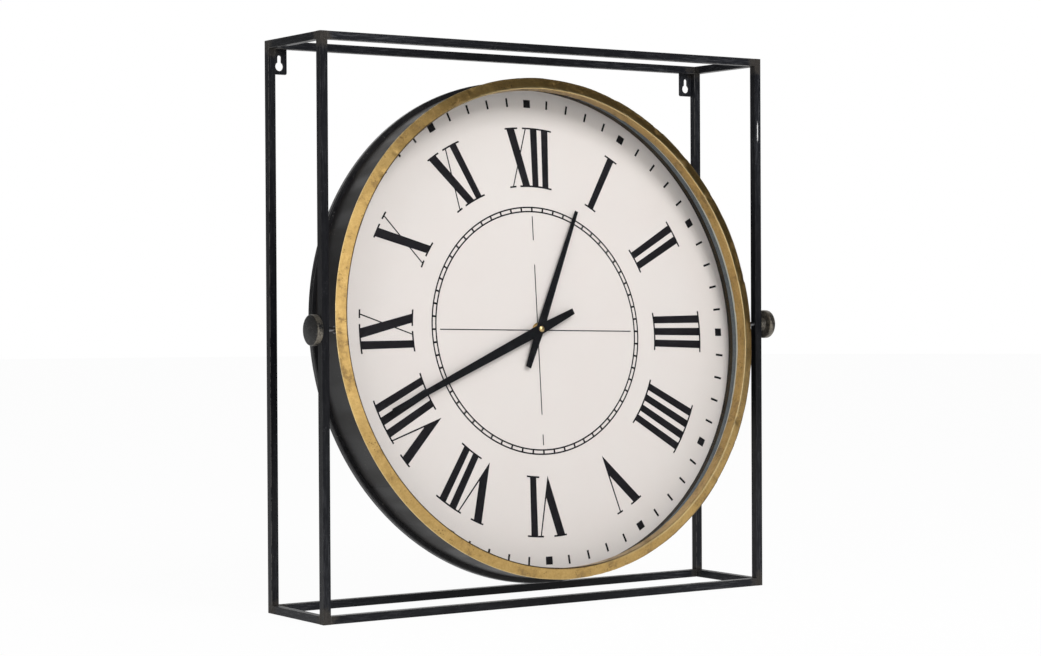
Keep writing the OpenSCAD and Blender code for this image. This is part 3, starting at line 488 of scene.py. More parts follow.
def iron_finish(name, scale, scratched=False):
    """Dark lacquered iron: grey haze near the corners, streaks along the bar, worn edges, welds"""
    own = settings().frame
    made = Finish(name, Specular_IOR_Level=0.16, Metallic=0.0)
    along = made.stretched(scale)
    streaks = made.group("streaks", Vector=along, Scale=60.0, Cover=0.55)
    veins = made.group("streaks", Vector=along, Scale=170.0, Cover=0.9)
    mottle = made.group("mottle", Scale=55.0, Spread=0.2)
    specks = made.group("specks", Scale=420.0, Size=0.34)
    weld = made.group("weld", Reach=own.weld_reach, Handled=0.26)
    worn = made.group("edge wear", Scale=90.0, Amount=0.95).worn
    dust = made.group("dust", Amount=0.1).dust
    haze = weld.near * streaks.broad.ramp(0.1, 0.9, 0.35, 1.0)
    tone = made.layers(
        own.iron, (haze * 0.3, srgb(44, 46, 52)), (mottle.patches * 0.05, own.rubbed_iron),
        (streaks.streaks * 0.14, own.rubbed_iron),
        (veins.streaks * (0.05 + haze * 0.28), srgb(94, 95, 99)),
        (specks.specks * 0.3, own.rubbed_iron),
        (weld.weld * 0.6, blended(made.tree, weld.beads, srgb(44, 43, 44), own.weld)),
        (worn * 0.5, srgb(112, 109, 106)), (dust, srgb(120, 116, 110)))
    if scratched:
        tone = made.layers(tone, (bare_scratch(made), srgb(206, 206, 206)))
    rough = 0.32 + streaks.broad * 0.14 + weld.weld * 0.2
    rise = weld.beads * (weld.weld * 2.0) + (mottle.grain * 0.5 + streaks.broad)
    return made.coat(
        tone, rough, rise, 0.5, 0.00012, metal=maths("MAXIMUM", weld.weld * 0.5, worn * 0.5))


def bare_scratch(made):
    """A mask for the bare scratch down the front of the right post"""
    middle = (FRAME_HALF_W - 0.55 * BAR, -BAR / 2, 0.862 * FRAME_H)
    off = vector_maths("SUBTRACT", made.place, middle)
    away = vector_maths("LENGTH", vector_maths("MULTIPLY", off, (1.0, 1.0, 0.07)))
    ragged = away + noise_at(made.place, 500.0, 4.0, 0.7) * 0.0016
    return ragged.ramp(0.0014, 0.0018, 1.0, 0.0)


def gunmetal_finish():
    """Knobs: dark blued metal, fine scratches, and pale patches behind the face: bare metal and
    painted sheen
    """
    own = settings().knobs
    made = Finish("Knob gunmetal", Specular_IOR_Level=0.3)
    mottle = made.group("mottle", Scale=160.0, Spread=0.16)
    cloud = made.group("mottle", Scale=70.0, Spread=0.12).patches
    squeezed = made.stretched((1.0, 0.12, 1.0), (0.6, 0.2, 0.0))
    scratches = made.group("streaks", Vector=squeezed, Scale=420.0, Cover=0.75).streaks
    specks = made.group("specks", Scale=900.0, Size=0.4).specks
    across = read(made.tree, "ShaderNodeSeparateXYZ", "X", {"Vector": made.place})
    behind = maths("ABSOLUTE", across).ramp(
        FRAME_HALF_W + 11 * MM, FRAME_HALF_W + 12.4 * MM, 1.0, 0.0)
    # Pale patches on the knobs' backs: partly bare metal, partly a painted sheen for the light on
    # the curved back
    bare_and_sheen = cloud * behind.ramp(0.0, 1.0, 0.04, 0.75)
    tone = made.layers(
        shade(own.gunmetal, 0.5), (mottle.patches, own.gunmetal), (bare_and_sheen, srgb(150, 143, 130)),
        (scratches * 0.2, srgb(120, 119, 118)), (specks * 0.6, srgb(150, 146, 140)))
    return made.coat(
        tone, mottle.grain.ramp(0.3, 0.7, 0.28, 0.46), mottle.grain + scratches * 0.4, 0.35, 0.0001,
        metal=0.35 + bare_and_sheen * 0.6)


def metal_finish(name, light, dark, roughness, scale=220.0):
    """Plain turned or stamped metal with a grain and dull patches"""
    made = Finish(name, Metallic=1.0)
    mottle = made.group("mottle", Scale=scale, Spread=0.2)
    worn = made.group("edge wear", Scale=300.0, Amount=0.5).worn
    tone = made.layers(
        light, (mottle.patches * 0.6, dark),
        (worn * 0.6, tuple(min(1.0, channel * 1.5) for channel in light)))
    rough = mottle.grain.ramp(0.3, 0.7, roughness - 0.07, roughness + 0.12)
    return made.coat(tone, rough, mottle.grain, 0.2, 0.00006)


def seam_line(made):
    """A mask for the dark gap along the side band's lap seam"""
    turn = settings().drum.seam_angle
    off = vector_maths("SUBTRACT", made.place, (0.0, 0.0, PIVOT_Z))

    def along(x, y):
        return vector_maths("DOT_PRODUCT", off, tuple(HEAD_TURN @ Vector((x, y, 0.0))))

    beside = maths("ABSOLUTE", along(math.cos(turn), -math.sin(turn)))
    outwards = along(math.sin(turn), math.cos(turn)).ramp(0.0, 0.1)
    return outwards * beside.ramp(0.4 * MM, 0.9 * MM, 1.0, 0.0)


def drum_finish():
    """Side band: thin brushed dark paint, a little lighter and warmer in patches"""
    own = settings().drum
    made = Finish("Drum paint", Specular_IOR_Level=0.35)
    axis = made.stretched((1.0, 1.0, 1.0), (TILT, 0, 0))
    squeezed = made.stretched((1.0, 0.18, 1.0), of=axis)
    brush = made.group("streaks", Vector=squeezed, Scale=34.0, Cover=0.4).broad
    mottle = made.group("mottle", Scale=16.0, Spread=0.2)
    specks = made.group("specks", Scale=260.0, Size=0.3).specks
    dust = made.group("dust", Amount=0.3).dust
    tone = made.layers(
        shade(own.paint, 0.6), (mottle.patches, own.paint), (brush * 0.3, srgb(50, 47, 43)),
        (specks * 0.35, srgb(105, 100, 92)), (dust, srgb(130, 124, 114)),
        (seam_line(made) * 0.85, srgb(10, 10, 11)))
    return made.coat(tone, 0.42 + brush * 0.16, brush + mottle.grain * 0.6, 0.25, 0.0001)


def black_metal_finish(name, ground, roughness, marks=1.0):
    """Black enamel on sheet: faint orange peel, a few specks and dust"""
    made = Finish(name, Specular_IOR_Level=0.15 + 0.25 * marks)
    mottle = made.group("mottle", Scale=24.0, Spread=0.22)
    specks = made.group("specks", Scale=300.0, Size=0.3).specks
    worn = made.group("edge wear", Scale=120.0, Amount=0.5).worn
    dust = made.group("dust", Amount=0.2 * marks).dust
    tone = made.layers(
        ground, (mottle.patches * (0.35 * marks), srgb(52, 51, 52)),
        (specks * (0.45 * marks), srgb(110, 108, 104)), (worn * (0.5 * marks), srgb(96, 94, 92)),
        (dust, srgb(130, 126, 118)))
    rough = mottle.grain.ramp(0.3, 0.7, roughness - 0.05, roughness + 0.1)
    return made.coat(tone, rough, mottle.grain, 0.3, 0.0001)


def bezel_finish():
    """Brass leaf rubbed through to a brown ground: fine grain and stains, with painted shade and
    painted highlights along the edges
    """
    own = settings().bezel
    made = Finish("Rubbed brass bezel")
    patches = made.group("mottle", Scale=30.0, Spread=0.12).patches
    small = made.group("mottle", Scale=120.0, Spread=0.15)
    fine = made.group("mottle", Scale=420.0, Spread=0.16)
    specks = made.group("specks", Scale=330.0, Size=0.42).specks
    # The mesh's two edge marks are painted light: the first paints shade and a dark reflection, the
    # second a highlight, each on the side of the ring where the light puts it
    painted_shade_mark, painted_highlight_mark = (
        read(made.tree, "ShaderNodeAttribute", "Fac", attribute_name=name)
        for name in ("patina", "crest"))
    deep = shade(own.patina, 0.4)
    olive = srgb(160, 128, 72)
    stain = patches.ramp(0.7, 1.0) * small.patches
    # Painted shade along one edge and a painted highlight along the other, broken up by the grain
    edge = maths("MULTIPLY", painted_shade_mark, small.grain.ramp(0.2, 0.5, 0.55, 1.0), clamp=True)
    painted_highlight = maths("MULTIPLY", painted_highlight_mark, small.grain.ramp(0.35, 0.62, 0.45, 1.0), clamp=True)
    tone = made.layers(
        own.brass, (patches * 0.5, olive), (fine.patches * 0.42, olive),
        (small.patches * 0.12, own.patina), (stain * 0.5, own.patina), (specks * 0.45, deep),
        (edge, deep), (painted_highlight * 0.6, srgb(244, 226, 176)))
    rough = fine.grain.ramp(0.3, 0.7, 0.28, 0.42) + stain * 0.15
    return made.coat(
        tone, rough, fine.grain - specks * 0.6, 0.35, 0.00014,
        metal=0.97 - maths("MAXIMUM", edge, stain) * 0.5)


def glass_finish():
    """Clear glass that lets the light through to the dial"""
    made = Finish(
        "Glass", Base_Color=(1.0, 1.0, 1.0, 1.0), Roughness=0.0, IOR=1.3, Transmission_Weight=1.0,
        Specular_IOR_Level=0.4)
    rays = all_of(add(made.tree, "ShaderNodeLightPath").outputs)
    clear = add(made.tree, "ShaderNodeBsdfTransparent", {"Color": (0.97, 0.985, 0.98, 1.0)})
    made.over(maths("MAXIMUM", rays.is_shadow_ray, rays.is_diffuse_ray), clear)
    made.bump(made.group("mottle", Scale=7.0, Spread=0.3).patches, 0.02, 0.0002)
    return made


def seal_finish():
    """Blue-grey foam seal, pale at its front towards the glass"""
    made = Finish("Grey foam seal", Specular_IOR_Level=0.3)
    mottle = made.group("mottle", Scale=300.0, Spread=0.24)
    cells = made.group("specks", Scale=700.0, Size=0.5).specks
    front = front_depth("glass_seal", GLAZED_R)
    along = vector_maths("DOT_PRODUCT", made.place, (0.0, -math.cos(TILT), math.sin(TILT)))
    depth = along - PIVOT_Z * math.sin(TILT)
    wavy = depth + noise_at(made.place, 60.0, 4.0, 0.6) * (0.9 * MM)
    tone = made.layers(
        srgb(100, 113, 122), (mottle.patches, srgb(70, 80, 90)), (cells * 0.5, srgb(52, 60, 68)),
        (wavy.ramp(front - 7.7 * MM, front - 7.2 * MM), srgb(196, 200, 190)))
    return made.coat(tone, mottle.grain.ramp(0.3, 0.7, 0.64, 0.8), mottle.grain, 0.4, 0.0001)


def soft_finish(name, light, dark, roughness, scale=200.0, bump=0.2, specular=0.4):
    """Moulded plastic, rubber, foam or board: an even colour with a fine grain"""
    made = Finish(name, Specular_IOR_Level=specular)
    mottle = made.group("mottle", Scale=scale, Spread=0.24)
    dust = made.group("dust", Amount=0.12).dust
    tone = made.layers(light, (mottle.patches, dark), (dust, srgb(140, 136, 128)))
    rough = mottle.grain.ramp(0.3, 0.7, roughness - 0.06, roughness + 0.08)
    return made.coat(tone, rough, mottle.grain, bump, 0.00008)


def dial_finish():
    """Printed board under the glass: a warm white with a faint cast that drifts across it"""
    paper = settings().dial.paper
    made = Finish("Dial board", Specular_IOR_Level=0.2)
    drift = made.group("mottle", Scale=3.0, Spread=0.3).patches
    fibre = made.group("mottle", Scale=320.0, Spread=0.3)
    specks = made.group("specks", Scale=210.0, Size=0.1).specks
    warm = tuple(channel * share for channel, share in zip(paper, (0.985, 0.955, 0.955)))
    tone = made.layers(
        paper, (drift, warm), (fibre.patches * 0.06, srgb(176, 166, 158)),
        (specks * 0.25, srgb(150, 140, 130)))
    return made.coat(tone, fibre.grain.ramp(0.3, 0.7, 0.6, 0.74), fibre.grain, 0.08, 0.00005)


def ink_finish():
    """Printing ink, a touch uneven over the board"""
    ink = settings().dial.ink
    made = Finish("Printing ink", Specular_IOR_Level=0.15)
    mottle = made.group("mottle", Scale=260.0, Spread=0.24)
    tone = made.layers(ink, (mottle.patches, shade(ink, 1.15)))
    return made.coat(tone, mottle.grain.ramp(0.3, 0.7, 0.5, 0.66), mottle.grain, 0.1, 0.00003)


def battery_finish():
    """Printed steel jacket of the battery: a dark body and a copper-coloured end, no words"""
    made = Finish("Battery jacket", Metallic=0.6, Specular_IOR_Level=0.5)
    along = read(made.tree, "ShaderNodeSeparateXYZ", "X", {"Vector": made.place})
    line = along.ramp(0.0085, 0.0087) * along.ramp(0.0094, 0.0096, 1.0, 0.0)
    mottle = made.group("mottle", Scale=300.0, Spread=0.3)
    tone = made.layers(
        srgb(28, 29, 33), (along.ramp(0.0105, 0.0109), srgb(178, 128, 82)),
        (line, srgb(200, 200, 198)), (mottle.patches * 0.2, srgb(90, 88, 86)))
    return made.coat(tone, mottle.grain.ramp(0.3, 0.7, 0.24, 0.36), mottle.grain, 0.08, 0.00004)


FINISH_MAKERS = {
    "iron upright": lambda: iron_finish("Lacquered iron, upright", (1.0, 1.0, 0.05), True),
    "iron across": lambda: iron_finish("Lacquered iron, across", (0.05, 1.0, 1.0)),
    "iron deep": lambda: iron_finish("Lacquered iron, front to back", (1.0, 0.08, 1.0)),
    "gunmetal": gunmetal_finish,
    "steel": lambda: metal_finish("Bright steel", settings().knobs.steel, srgb(84, 83, 82), 0.34),
    "brass": lambda: metal_finish(
        "Turned brass", srgb(216, 190, 138), srgb(166, 134, 84), 0.3, 500.0),
    "copper": lambda: metal_finish(
        "Copper wire", srgb(196, 108, 62), srgb(136, 66, 36), 0.3, 700.0),
    "drum": drum_finish,
    "rim": lambda: black_metal_finish("Black enamel", settings().drum.rim, 0.34),
    "hands": lambda: black_metal_finish("Hand enamel", srgb(9, 10, 14), 0.4, 0.15),
    "bezel": bezel_finish,
    "glass": glass_finish,
    "seal": seal_finish,
    "spacer": lambda: soft_finish(
        "Black card spacer", srgb(20, 20, 23), srgb(30, 29, 31), 0.72, 160.0, 0.3, 0.2),
    "dial": dial_finish,
    "ink": ink_finish,
    "rubber": lambda: soft_finish("Rubber", srgb(30, 30, 31), srgb(44, 43, 43), 0.7, 240.0, 0.3),
    "case": lambda: soft_finish(
        "Black moulded case", srgb(26, 27, 30), srgb(38, 39, 42), 0.46, 420.0, 0.5),
    "board": lambda: soft_finish(
        "Green circuit board", srgb(28, 86, 54), srgb(20, 66, 44), 0.4, 260.0),
    "wheels": lambda: soft_finish(
        "Natural acetal", srgb(232, 228, 216), srgb(214, 208, 194), 0.42, 400.0, 0.1),
    "knob plastic": lambda: soft_finish(
        "Setting knob plastic", srgb(202, 197, 185), srgb(184, 178, 166), 0.44, 400.0),
    "battery": battery_finish,
}

# The CAD nodes that stay as they are, under their finishes
KEPT = {
    "gunmetal": ("left_knob", "right_knob"),
    "rim": ("rear_rim", "back_cover"),
    "glass": ("glass",),
    "seal": ("glass_seal",),
    "spacer": ("dial_spacer", "rear_spacer"),
    "dial": ("dial",),
    "ink": ("numerals", "minute_track", "dial_lines"),
    "brass": ("cap_nut",),
    "rubber": ("rubber_washer",),
    "case": ("case_front", "case_back"),
    "board": ("circuit_board",),
    "steel": ("stator", "contact_plus", "contact_minus"),
    "wheels": (
        "rotor", "intermediate_wheel", "second_wheel", "third_wheel", "centre_wheel",
        "minute_arbor", "minute_wheel", "hour_wheel"),
    "knob plastic": ("setting_knob",),
    "battery": ("battery",),
}


def dress(*names):
    """Gives the CAD nodes under these finishes their look"""
    for name in names:
        for node in KEPT[name]:
            for held in frame["nodes"][node].material_slots:
                held.material = finish(name)


# ---------------------------------------------------------------- worked pieces

def body_of(node):
    """The body that a CAD node rides on"""
    for body, members in frame["record"]["behaviour"]["bodies"].items():
        if node in members:
            return body
    raise ValueError("no body holds " + node)


def to_mesh(shape, name):
    """Turns a shape into a mesh and lets the shape go"""
    mesh = bpy.data.meshes.new(name)
    shape.to_mesh(mesh)
    shape.free()
    return mesh


def to_shape(mesh):
    """A shape to work on, from a mesh"""
    shape = bmesh.new()
    shape.from_mesh(mesh)
    return shape


def smooth(mesh, sharp=None):
    """Shades a mesh smooth, but for edges sharper than an angle in degrees"""
    mesh.polygons.foreach_set("use_smooth", [True] * len(mesh.polygons))
    if sharp:
        mesh.set_sharp_from_angle(angle=math.radians(sharp))
    return mesh


def linked(name, mesh):
    """A new object in the scene"""
    piece = bpy.data.objects.new(name, mesh)
    bpy.context.scene.collection.objects.link(piece)
    return piece


def place_piece(name, mesh, material, body, slot, *nodes):
    """Links a finished mesh, gives it its material and hands it to the frame"""
    piece = linked(name, mesh)
    mesh.materials.clear()
    mesh.materials.append(finish(material))
    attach(piece, body)
    if nodes:
        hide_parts(*nodes)


def baked(piece):
    """The piece's mesh with its modifiers applied; the piece itself is removed"""
    bpy.context.view_layer.update()
    graph = bpy.context.evaluated_depsgraph_get()
    mesh = bpy.data.meshes.new_from_object(
        piece.evaluated_get(graph), preserve_all_data_layers=True, depsgraph=graph)
    bpy.data.objects.remove(piece)
    return mesh


def worked(node, material, slot, rounding, segments=2):
    """A CAD node's shape with its edges rounded and marked for wear"""
    sharp, flat, same = math.radians(35), math.radians(0.3), 1e-6
    shape = to_shape(frame["nodes"][node].data)
    mark = shape.faces.layers.float.new("worn")
    bmesh.ops.remove_doubles(shape, verts=shape.verts, dist=same)
    bmesh.ops.dissolve_limit(shape, angle_limit=flat, verts=shape.verts, edges=shape.edges)
    creases = [
        edge for edge in shape.edges
        if len(edge.link_faces) == 2 and edge.calc_face_angle(0.0) > sharp
    ]
    made = bmesh.ops.bevel(
        shape, geom=creases, offset=rounding, offset_type="OFFSET", segments=segments,
        profile=0.5, affect="EDGES", clamp_overlap=True)
    for face in made["faces"]:
        face[mark] = 1.0
    name = node + "_worked"
    piece = linked(name, smooth(to_mesh(shape, name)))
    piece.modifiers.new("Even normals", "WEIGHTED_NORMAL").keep_sharp = True
    place_piece(name, baked(piece), material, body_of(node), slot, node)


def skin(shape, rows):
    """Faces between rows of points that each close round"""
    for one, two in zip(rows, rows[1:]):
        for k in range(len(one)):
            after = (k + 1) % len(one)
            shape.faces.new((one[k], one[after], two[after], two[k]))


def turned_rows(shape, outline, steps):
    """Rows of points round Z from (radius, height) points"""
    turns = [2 * math.pi * k / steps for k in range(steps)]
    return [
        [shape.verts.new((radius * math.cos(turn), radius * math.sin(turn), height))
         for turn in turns]
        for radius, height in outline
    ]


def lathe(profile, segments, shift):
    """A closed ring about the head's axis from (radius, depth) points; shift moves them outwards"""
    shape = bmesh.new()
    rings = []
    for step in range(segments):
        angle = 2 * math.pi * step / segments
        ring = []
        for k, (radius, depth) in enumerate(profile):
            out = radius + shift(angle, k)
            ring.append(shape.verts.new((out * math.sin(angle), out * math.cos(angle), depth)))
        rings.append(ring)
    skin(shape, rings + rings[:1])
    return shape


def to_head(shape, name, sharp=30.0):
    """Turns a shape into a mesh that stands in the head's place, with its normals outwards"""
    bmesh.ops.transform(shape, matrix=HEAD, verts=shape.verts)
    bmesh.ops.recalc_face_normals(shape, faces=shape.faces)
    return smooth(to_mesh(shape, name), sharp)


# ---------------------------------------------------------------- geometry node trees

def geometry_tree(name, **inputs):
    """An empty geometry node tree with named inputs, the last one its material"""
    sockets = {"Geometry": ("Geometry", None)}
    sockets.update({key.replace("_", " "): value for key, value in inputs.items()})
    sockets["Material"] = ("Material", None)
    return new_group("GeometryNodeTree", name, sockets, {"Geometry": ("Geometry", None)})


def end_tree(geometry, given, leave):
    """Closes a tree with real geometry that carries its material"""
    real = read(geometry.tree, "GeometryNodeRealizeInstances", 0, {"Geometry": geometry})
    end_group(leave, Geometry=read(
        geometry.tree, "GeometryNodeSetMaterial", 0,
        {"Geometry": real, "Material": given.material}))


def grown(source, tree, material, **inputs):
    """The shape that a tree makes from a source mesh with these inputs"""
    holder = linked("growing", source)
    modifier = holder.modifiers.new("Grow", "NODES")
    modifier.node_group = tree
    sockets = {
        item.name: item.identifier for item in tree.interface.items_tree if item.in_out == "INPUT"}
    for key, value in {**inputs, "Material": finish(material)}.items():
        modifier[sockets[key.replace("_", " ")]] = value
    return to_shape(baked(holder))


def swept_ring_tree():
    """Sweeps a profile round a circle and works its surface by hand: waves and small dents"""
    tree, given, leave = geometry_tree(
        "Hand-worked ring", Radius=("Float", 0.28), Segments=("Int", 720), Wave=("Float", 0.0005),
        Wave_Scale=("Float", 22.0), Dent=("Float", 0.0004), Dent_Scale=("Float", 90.0),
        Seed=("Float", 3.0))
    profile = read(tree, "GeometryNodeMeshToCurve", 0, {"Mesh": given.geometry})
    circle = read(tree, "GeometryNodeCurvePrimitiveCircle", "Curve", {
        "Resolution": given.segments, "Radius": given.radius})
    upright = read(tree, "GeometryNodeSetCurveNormal", "Curve", {"Curve": circle}, mode="Z_UP")
    ring = read(tree, "GeometryNodeCurveToMesh", 0, {"Curve": upright, "Profile Curve": profile})
    place = read(tree, "GeometryNodeInputPosition", 0)
    outwards = vector_maths("NORMALIZE", vector_maths("MULTIPLY", place, (1.0, 1.0, 0.0)))

    def field(scale, detail):
        return read(tree, "ShaderNodeTexNoise", "Fac", {
            "Vector": place, "W": given.seed, "Scale": scale, "Detail": detail},
            noise_dimensions="4D")

    wave = field(given.wave_scale, 3.0).ramp(0.3, 0.7) * given.wave
    depth = wave + field(given.dent_scale, 1.0).ramp(0.56, 0.74) * given.dent
    side = read(
        tree, "ShaderNodeVectorMath", "Vector", {0: outwards, "Scale": depth * -0.6},
        operation="SCALE")
    drop = read(tree, "ShaderNodeCombineXYZ", 0, {"Z": depth * -1.0})
    moved = read(tree, "GeometryNodeSetPosition", 0, {
        "Geometry": ring, "Offset": vector_maths("ADD", side, drop)})
    end_tree(moved, given, leave)
    return tree


def placed_round_tree():
    """Places copies of the source evenly round a circle, each with its own small turn"""
    tree, given, leave = geometry_tree(
        "Placed round", Radius=("Float", 0.28), Count=("Int", 8), Loose_Turn=("Float", 0.0),
        Seed=("Int", 5))
    circle = read(tree, "GeometryNodeMeshCircle", 0, {
        "Vertices": given.count, "Radius": given.radius})
    place = read(tree, "GeometryNodeInputPosition", 0)
    across = all_of(add(tree, "ShaderNodeSeparateXYZ", {"Vector": place}).outputs)
    turn = maths("ARCTAN2", across.y, across.x)
    loose = read(
        tree, "FunctionNodeRandomValue", 1, {2: 0.0, 3: given.loose_turn, "Seed": given.seed},
        data_type="FLOAT")
    spin = read(tree, "ShaderNodeCombineXYZ", 0, {"Z": turn + loose})
    copies = read(tree, "GeometryNodeInstanceOnPoints", 0, {
        "Points": circle, "Instance": given.geometry, "Rotation": spin})
    end_tree(copies, given, leave)
    return tree


def winding_tree():
    """A wire wound in one layer on a bobbin"""
    tree, given, leave = geometry_tree(
        "Winding", Turns=("Float", 34.0), Wound_Radius=("Float", 0.002),
        Wire_Radius=("Float", 0.0002), Length=("Float", 0.011))
    helix = read(tree, "GeometryNodeCurveSpiral", 0, {
        "Resolution": 28, "Rotations": given.turns, "Start Radius": given.wound_radius,
        "End Radius": given.wound_radius, "Height": given.length})
    wire = read(tree, "GeometryNodeCurvePrimitiveCircle", "Curve", {
        "Resolution": 6, "Radius": given.wire_radius})
    wound = read(tree, "GeometryNodeCurveToMesh", 0, {
        "Curve": helix, "Profile Curve": wire, "Fill Caps": True})
    both = add(tree, "GeometryNodeJoinGeometry")
    put(given.geometry, both.inputs[0])
    put(wound, both.inputs[0])
    end_tree(Value(both.outputs[0]), given, leave)
    return tree


# ---------------------------------------------------------------- operators

class FrameOperator(bpy.types.Operator):
    """Rounds and finishes the twelve bars and the two hanger tabs"""
    bl_idname = "swivel_clock.frame"
    bl_label = "Frame bars and tabs"

    def execute(self, context):
        bars = {
            "iron upright": "front_left_post front_right_post back_left_post back_right_post",
            "iron across": "front_top_rail front_bottom_rail back_top_rail back_bottom_rail",
            "iron deep": "left_top_bar left_bottom_bar right_top_bar right_bottom_bar",
        }
        for material, nodes in bars.items():
            for node in nodes.split():
                worked(node, material, "frame_iron", settings().frame.bar_rounding, 3)
        for node in ("left_hanger_tab", "right_hanger_tab"):
            worked(node, "iron upright", "frame_iron", 0.25 * MM)
        return {"FINISHED"}


class KnobOperator(bpy.types.Operator):
    """Finishes the clamp knobs and works the studs, sleeves, washers and nuts"""
    bl_idname = "swivel_clock.knobs"
    bl_label = "Clamp knobs and pivots"

    def execute(self, context):
        dress("gunmetal")
        for node in ("left_stud", "right_stud", "pivot_spacers", "pivot_washers", "pivot_nuts"):
            rounding = 0.15 * MM if node == "pivot_spacers" else 0.25 * MM
            worked(node, "steel", "bright_steel", rounding)
        return {"FINISHED"}


class DrumOperator(bpy.types.Operator):
    """Builds the side band with its lap seam and the cover's screws, and finishes rim and cover"""
    bl_idname = "swivel_clock.drum"
    bl_label = "Drum, rim and cover"

    def execute(self, context):
        self.band(settings().drum)
        dress("rim")
        self.screws()
        return {"FINISHED"}

    def band(self, own):
        """The side band with its folded rear lip; one end laps over the other at the seam"""
        inner = DRUM_R - SHEET
        lip_in = inner - LIP_W
        rear = rear_depth("drum_band", DRUM_R)
        front = front_depth("drum_band", DRUM_R) - 0.6 * MM
        lip = rear + 2.4 * MM
        rounding = 0.2 * MM
        steps = 720
        back_row, front_row = -30 * MM, -12 * MM
        profile = [
            (DRUM_R, rear + rounding), (DRUM_R, back_row), (DRUM_R, front_row), (DRUM_R, front),
            (inner, front), (inner, lip + SHEET), (lip_in, lip + SHEET), (lip_in, lip),
            (inner, lip), (inner, rear), (DRUM_R - rounding, rear),
        ]
        outside = (0, 1, 2, 3, 10)
        run = math.radians(7)

        def lap(angle, k):
            past = (angle - own.seam_angle) % (2 * math.pi)
            return -own.seam_step * (1 - past / run) if k in outside and past < run else 0.0

        name = "drum_band_worked"
        mesh = to_head(lathe(profile, steps, lap), name)
        place_piece(name, mesh, "drum", "head", "drum_paint", "drum_band")

    def screws(self):
        """Eight pan heads with a cross recess, each left at its own turn"""
        head_r, head_t, shank_r, shank_l = 3.0 * MM, 1.4 * MM, 1.4 * MM, 3.9 * MM
        arm_l, arm_half_w, recess, taper = 1.5 * MM, 0.3 * MM, 0.8 * MM, 0.8
        steps, count = 32, 8
        rear = rear_depth("drum_band", DRUM_R)
        shape = bmesh.new()
        outline = [
            (1.9 * MM, 0.0), (2.5 * MM, 0.18 * MM), (2.9 * MM, 0.6 * MM), (head_r, 1.05 * MM),
            (head_r, head_t), (shank_r, head_t), (shank_r, head_t + shank_l),
            (0.6 * MM, head_t + shank_l + 0.3 * MM),
        ]
        rows = turned_rows(shape, [(radius, rear + depth) for radius, depth in outline], steps)
        skin(shape, rows)
        shape.faces.new(rows[-1])
        ring = []
        for arm in range(4):
            turn = Matrix.Rotation(arm * math.pi / 2, 3, "Z")
            for x, y in ((arm_l, -arm_half_w), (arm_l, arm_half_w), (arm_half_w, arm_half_w)):
                ring.append(turn @ Vector((x, y, 0)))
        top = [shape.verts.new((point.x, point.y, rear)) for point in ring]
        floor = [
            shape.verts.new((point.x * taper, point.y * taper, rear + recess)) for point in ring]
        skin(shape, [floor, top])
        shape.faces.new(floor)
        edges = [
            shape.edges.get((loop[k - 1], loop[k]))
            for loop in (rows[0], top) for k in range(len(loop))]
        bmesh.ops.triangle_fill(shape, edges=edges, use_beauty=True)
        bmesh.ops.recalc_face_normals(shape, faces=shape.faces)
        shape = grown(
            to_mesh(shape, "screw"), placed_round_tree(), "steel",
            Radius=DRUM_R - SHEET - LIP_W / 2, Count=count, Loose_Turn=2.4, Seed=5)
        half_step = Matrix.Rotation(math.pi / count, 3, "Z")
        bmesh.ops.rotate(shape, verts=shape.verts, cent=(0, 0, 0), matrix=half_step)
        name = "cover_screws_worked"
        place_piece(name, to_head(shape, name), "steel", "head", "bright_steel", "cover_screws")


